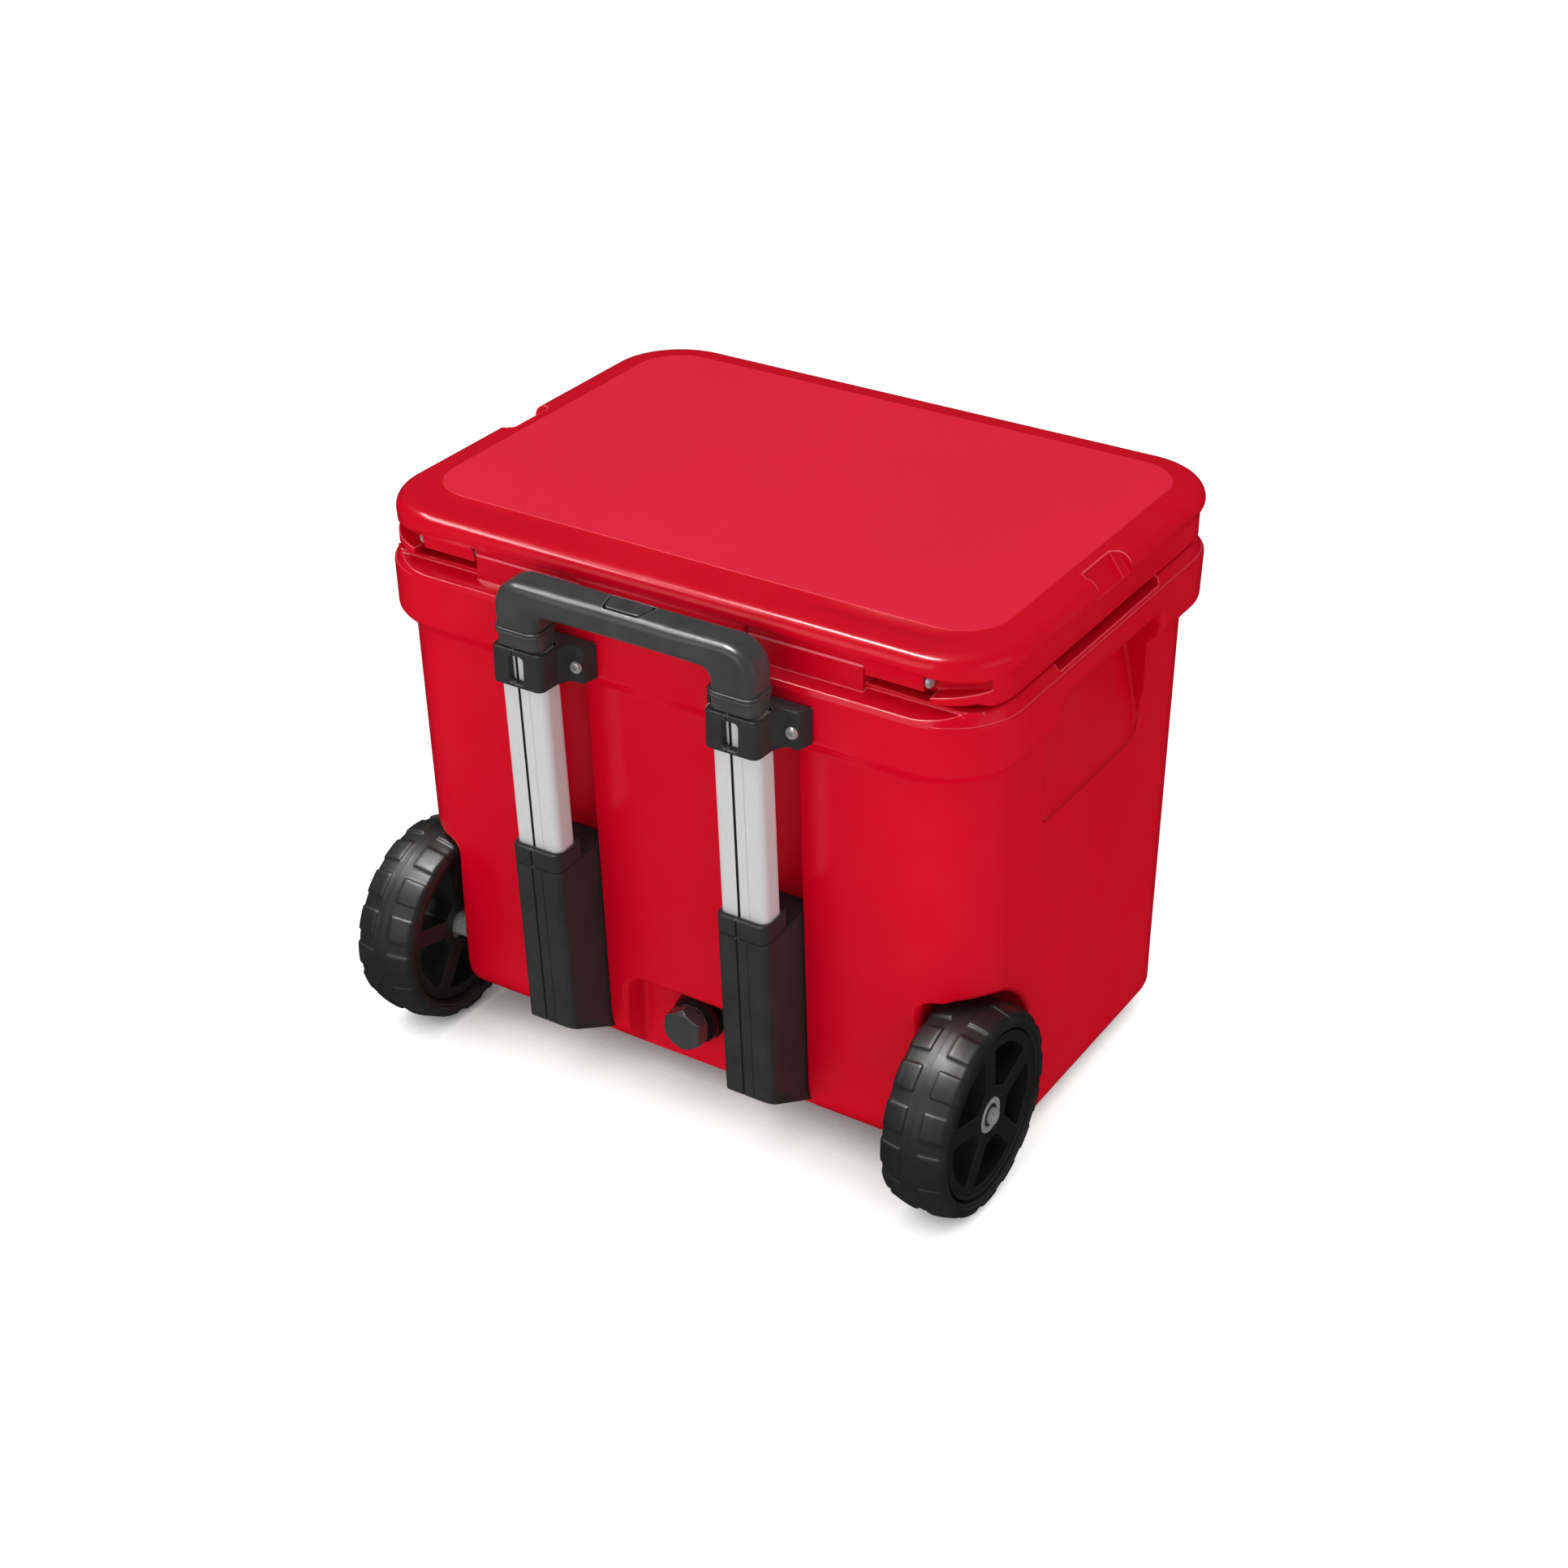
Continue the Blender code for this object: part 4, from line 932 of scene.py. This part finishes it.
def make_tyre(side, hand):
    pitch = 360 / BLOCKS
    angles, shares = [], []
    for k in range(BLOCKS):
        for a in (-11.25, -9.3, -7.7, -7.2, -6.6, -5, -2.5, 0, 2.5, 5, 6.6, 7.2, 7.7, 9.3):
            angles.append(math.radians(k * pitch + a))
            shares.append(float(np.clip((7.7 - abs(a)) / 1.0, 0, 1)))
    sections = tread_sections()
    rings = []
    for angle, share in zip(angles, shares):
        ring = []
        for x, radius, way, part in sections:
            height = BLOCK_H * share * part * (1.0 if way[1] > 0.5 else 0.65)
            ridge = 0.25 if abs(x) < 0.2 else 0.0
            r = radius + height * way[1] + ridge
            place = side * (WHEEL_X - TYRE_HALF_W + x + height * way[0] * 0.7)
            ring.append((place, AXLE_Y + r * math.cos(angle), AXLE_Z + r * math.sin(angle)))
        rings.append(np.array(ring))
    tyre = mesh_object(f"tyre_{hand}", loft(rings, loop=True))
    dress(tyre, RUBBER, f"wheel_{hand}", [f"wheel_tyre_{hand}"], sharp=60)


def rim_window(angle):
    half, bar, inner, outer = math.pi / 5, 8.5, 28.0, 66.0
    near, far = half - math.asin(bar / inner), half - math.asin(bar / outer)
    polar = [(inner, -near), (inner, near)] + [(outer, far - far * k / 6) for k in range(13)]
    points = [(AXLE_Y + r * math.cos(angle + t), AXLE_Z + r * math.sin(angle + t)) for r, t in polar]
    return fillet(points, [3, 3, 3.5] + [0] * 11 + [3.5], 4)


def make_rim(side, hand):
    face, back = WHEEL_X - 3.0, WHEEL_X - 53.0
    profile = [(16.8, back), (75, back), (76, back + 1), (76, face + 0.2), (75.4, face + 1)]
    profile += [(73.6, face + 1), (73, face), (24, face), (23.2, face + 0.5), (18.6, face + 0.5)]
    profile += [(18, face - 0.2), (17.4, face - 0.6), (16.8, face - 1.2)]
    rim = mesh_object(f"rim_{hand}", turned(profile, (0, AXLE_Y, AXLE_Z), "X", 160))
    cut(rim, *[along_x(rim_window(math.radians(121 + 72 * k)), 240, 330) for k in range(5)])
    if side < 0:
        rim.data.transform(Matrix.Scale(-1, 4, Vector((1, 0, 0))))
        rim.data.flip_normals()
    dress(rim, RIM, f"wheel_{hand}", [f"wheel_rim_{hand}"])


def make_hub(side, hand):
    start, end = WHEEL_X - 13.8, WHEEL_X - 5.8
    proud = end + 2.6
    profile = [(7.9, start), (16.4, start), (16.4, proud - 0.4), (16.0, proud), (13.4, proud)]
    profile += [(13.2, proud - 0.7), (12.8, proud - 0.7), (12.6, proud - 0.2), (10.9, proud - 0.2)]
    profile += [(10.5, proud - 0.8), (10.5, end), (7.9, end)]
    tip = WHEEL_X + 2.5
    stub = [(0, 220), (7.5, 220), (7.5, tip - 7.9), (6.3, tip - 7.9), (6.3, tip - 5.7), (7.5, tip - 5.7)]
    stub += [(7.5, tip - 2), (7.0, tip - 1), (5.4, tip - 0.3), (3, tip), (1.2, tip), (0.9, tip - 0.7)]
    stub.append((0, tip - 0.9))

    def in_seal(x, y, z, normal):
        return math.hypot(y - AXLE_Y, z - AXLE_Z) < 10.6 and abs(x) > 300

    for name, shape, look, body, node in (
        (f"bearing_{hand}", profile, [STEEL, BLACK], f"wheel_{hand}", f"bearing_outer_{hand}"),
        (f"stub_{hand}", stub, [STEEL], "chest", f"axle_{hand}"),
    ):
        points, faces = turned(shape, (0, AXLE_Y, AXLE_Z), "X", 56)
        points[:, 0] *= side
        piece = mesh_object(name, (points, faces))
        dress(piece, look, body, [node], sharp=25)
        if len(look) > 1:
            paint(piece, 1, in_seal)


# ---------------------------------------------------------------- drain
def make_drain():
    face = DRAIN_FACE + 0.3
    centre = (DRAIN_X, 0, DRAIN_Z)
    profile = [(7.5, 126), (11, 126), (11, face), (24.4, face), (25.2, face + 0.8), (25.2, face + 2.2)]
    profile += [(24.4, face + 3.2), (21.5, face + 4.6), (19.5, face + 5), (12.5, face + 5)]
    profile += [(12.5, face + 14), (7.5, face + 14)]
    spout = mesh_object("spout", turned(profile, centre, "Y", 72))
    dress(spout, GLOSS, "chest", ["drain_spout"])
    start = DRAIN_FACE + 7.95
    skirt = [(0, start + 9.5), (12.9, start + 9.5), (12.9, start), (22.8, start), (23.6, start + 0.8)]
    skirt += [(23.9, start + 2), (23.6, start + 4), (22.6, start + 6.5), (20.8, start + 9)]
    skirt += [(18.8, start + 10.6), (18, start + 15), (0, start + 15)]
    collar = mesh_object("cap_collar", turned(skirt, centre, "Y", 72))
    dress(collar, GLOSS, "drain_plug", ["drain_cap"])
    hexagon = arc(0, 0, 21.2, 30, 330, 5)
    outline = [(DRAIN_X + a, DRAIN_Z + b) for a, b in fillet(hexagon, [1.5] * 6, 3)]
    nut = mesh_object("cap_hexagon", along_y(outline, start + 11, start + 26.9))
    chamfer = [(0, start + 10), (17.6, start + 10), (21.6, start + 14), (21.6, start + 22.5)]
    chamfer += [(20, start + 25), (17.8, start + 26.6), (16.8, start + 26.9), (0, start + 27)]
    combine(nut, "INTERSECT", turned(chamfer, centre, "Y", 96))
    dress(nut, GRIP, "drain_plug", (), sharp=30)


# ---------------------------------------------------------------- latches and feet
def make_latch(side, hand):
    x, face = side * LATCH_X, -229.5
    points = [(face - 7, LATCH_Z + 16), (LATCH_Y - 5.5, LATCH_Z - 3)] + arc(LATCH_Y, LATCH_Z, 6, 210, 370, 12)
    points += [(LATCH_Y - 4, LATCH_Z + 9), (face, LATCH_Z + 20), (face, LATCH_TOP - 2)]
    points += [(face - 2, LATCH_TOP), (face - 8, LATCH_TOP), (face - 10, LATCH_TOP - 3)]
    points += [(face - 9, LATCH_TOP - 8), (face - 7, LATCH_TOP - 16)]
    latch = mesh_object(f"latch_piece_{hand}", along_x(points, x - LATCH_W / 2, x + LATCH_W / 2))
    waist = rounded(10, 60, LATCH_Z + 26, LATCH_TOP - 14, 12)
    sides = [[(x + turn * (19 + a - 10), b) for a, b in waist] for turn in (-1, 1)]
    cut(latch, *[along_y(outline, face - 20, face + 6) for outline in sides])
    soften = latch.modifiers.new("soften", "BEVEL")
    soften.width = 1.2 * MM
    soften.segments = 3
    soften.angle_limit = math.radians(40)
    dress(latch, BLACK, f"latch_{hand}", [f"latch_{hand}"])


FOOT_X = 225.0


def make_foot(side, hand):
    cx = side * FOOT_X
    outline = rounded(cx - 32, cx + 32, -165, -115, 12)
    foot = mesh_object(f"foot_{hand}", loft(soft_rings(outline, 0, 16.7, 3, 1)))
    grooves = [block(cx - 40, cx + 40, y - 1, y + 1, -5, 1.2) for y in (-155, -147.5, -140, -132.5, -125)]
    cut(foot, *grooves)
    dress(foot, RUBBER, "chest", [f"front_foot_{hand}"])


# ---------------------------------------------------------------- assembly
make_tub()
make_lid()
make_pins()
make_grip()
make_drain()
for side, hand in ((1, "left"), (-1, "right")):
    make_tube(f"tube_outer_{hand}", side, 0, 93, 461, "chest", f"outer_tube_{hand}", True)
    stage = "handle_stage_1"
    make_tube(f"tube_middle_{hand}", side, STAGE, 95, 463, stage, f"middle_tube_{hand}", False)
    stage = "handle_stage_2"
    make_tube(f"tube_inner_{hand}", side, 2 * STAGE, 97, LIP_Z - 4.2, stage, f"inner_tube_{hand}", False)
    make_housing(side, hand)
    make_clamp(side, hand)
    make_tyre(side, hand)
    make_rim(side, hand)
    make_hub(side, hand)
    make_latch(side, hand)
    make_foot(side, hand)
CARRIED = (
    ("bearing_inner", STEEL, "zinc_steel"),
    ("axle_spacer", STEEL, "zinc_steel"),
    ("axle_clip", BLACK, "zinc_steel"),
    ("latch_pin", STEEL, "zinc_steel"),
)
for start, look, slot in CARRIED:
    for hand in ("left", "right"):
        node = frame["nodes"][f"{start}_{hand}"]
        node.data.materials.clear()
        node.data.materials.append(look)
for name in ("lid_gasket", "drain_washer"):
    node = frame["nodes"][name]
    node.data.materials.clear()
    node.data.materials.append(SEAL)


# ---------------------------------------------------------------- floor, light and camera
def floor():
    """White and glowing, with a contact shadow painted into the glow close to the object."""
    corners = [(-20000, -20000, 0), (20000, -20000, 0), (20000, 20000, 0), (-20000, 20000, 0)]
    made = mesh_object("floor", (corners, [(0, 1, 2, 3)]))
    n = Nodes("floor")
    n.set("Base Color", n.mix(n.span(n.noise(0.8, 2), 0.0, 1.0), (0.19, 0.19, 0.19), (0.2, 0.2, 0.2)))
    n.set("Roughness", 0.7)
    n.set("Specular IOR Level", 0.05)
    # Painted shadow: the floor's glow is dimmed where ambient occlusion finds the object close by.
    near = n.tree.nodes.new("ShaderNodeAmbientOcclusion")
    near.inputs["Distance"].default_value = 0.16
    near.samples = 12
    n.set("Emission Color", (1.0, 1.0, 1.0))
    n.set("Emission Strength", n.span(near.outputs["AO"], 0.03, 1.0, 0.06, 0.52))
    made.data.materials.append(n.material)
    made.visible_glossy = False


def panel(name, place, target, size, energy):
    light = bpy.data.lights.new(name, "AREA")
    light.shape = "RECTANGLE"
    light.size, light.size_y = size
    light.energy = energy
    obj = bpy.data.objects.new(name, light)
    bpy.context.scene.collection.objects.link(obj)
    start, end = Vector(place), Vector(target)
    obj.location = start
    obj.rotation_euler = (end - start).to_track_quat("-Z", "Y").to_euler()
    return obj


DIFFUSE, REFLECTED = 0.62, (0.004, 0.055)


def world_light():
    """Even light on diffuse surfaces, and white to the camera. Reflections see a dim ceiling and a dark
    floor."""
    world = bpy.data.worlds.new("studio")
    world.use_nodes = True
    tree = world.node_tree
    background = tree.nodes["Background"]
    where = tree.nodes.new("ShaderNodeTexCoord")
    split = tree.nodes.new("ShaderNodeSeparateXYZ")
    height = tree.nodes.new("ShaderNodeMapRange")
    height.inputs["From Min"].default_value = -0.15
    height.inputs["From Max"].default_value = 0.9
    height.inputs["To Min"].default_value = REFLECTED[0]
    height.inputs["To Max"].default_value = REFLECTED[1]
    path = tree.nodes.new("ShaderNodeLightPath")
    pick = tree.nodes.new("ShaderNodeMix")
    pick.inputs["A"].default_value = DIFFUSE
    tree.links.new(where.outputs["Generated"], split.inputs["Vector"])
    tree.links.new(split.outputs["Z"], height.inputs["Value"])
    tree.links.new(height.outputs["Result"], pick.inputs["B"])
    tree.links.new(path.outputs["Is Glossy Ray"], pick.inputs["Factor"])
    sky = tree.nodes.new("ShaderNodeMix")
    sky.inputs["B"].default_value = 1.0
    tree.links.new(pick.outputs["Result"], sky.inputs["A"])
    tree.links.new(path.outputs["Is Camera Ray"], sky.inputs["Factor"])
    tree.links.new(sky.outputs["Result"], background.inputs["Strength"])
    background.inputs["Color"].default_value = (1, 1, 1, 1)
    world.cycles.sampling_method = "NONE"
    bpy.context.scene.world = world


def lights():
    world_light()
    middle = (0, 0, 0.25)
    overhead = panel("overhead", (0.3, 0.2, 3.2), middle, (3.2, 2.4), 38)
    overhead.visible_glossy = False
    panel("rear", (0.6, 3.4, 1.2), middle, (3.0, 1.8), 24)
    panel("side", (-3.4, 0.2, 1.0), middle, (2.4, 1.6), 5)
    for name, x, length, energy in (("strip_near", 0.35, 1.5, 95), ("strip_far", 1.9, 1.6, 38)):
        strip = panel(name, (x, 0.75, 2.6), (x * 0.2, 0.2, 0.53), (length, 0.34), energy)
        strip.visible_diffuse = False


def camera():
    """At the photograph's viewing angle. The angles are in radians and the place in millimetres."""
    yaw, pitch, roll = 0.5618, 0.5304, -0.0024
    ahead = Vector((math.sin(yaw) * math.cos(pitch), -math.cos(yaw) * math.cos(pitch), -math.sin(pitch)))
    right = ahead.cross(Vector((0, 0, 1))).normalized()
    up = right.cross(ahead)
    c, s = math.cos(roll), math.sin(roll)
    x_axis, y_axis = right * c + up * s, up * c - right * s
    lens = bpy.data.cameras.new("camera")
    lens.sensor_width = 36.0
    lens.lens = 63.29
    obj = bpy.data.objects.new("camera", lens)
    turn = Matrix((x_axis, y_axis, -ahead)).transposed().to_4x4()
    obj.matrix_world = Matrix.Translation(Vector((-1154.1, 1861.85 + SHIFT, 1517.7)) * MM) @ turn
    bpy.context.scene.collection.objects.link(obj)
    bpy.context.scene.camera = obj


floor()
lights()
camera()
bpy.context.scene.view_settings.view_transform = "Standard"
bpy.context.view_layer.update()
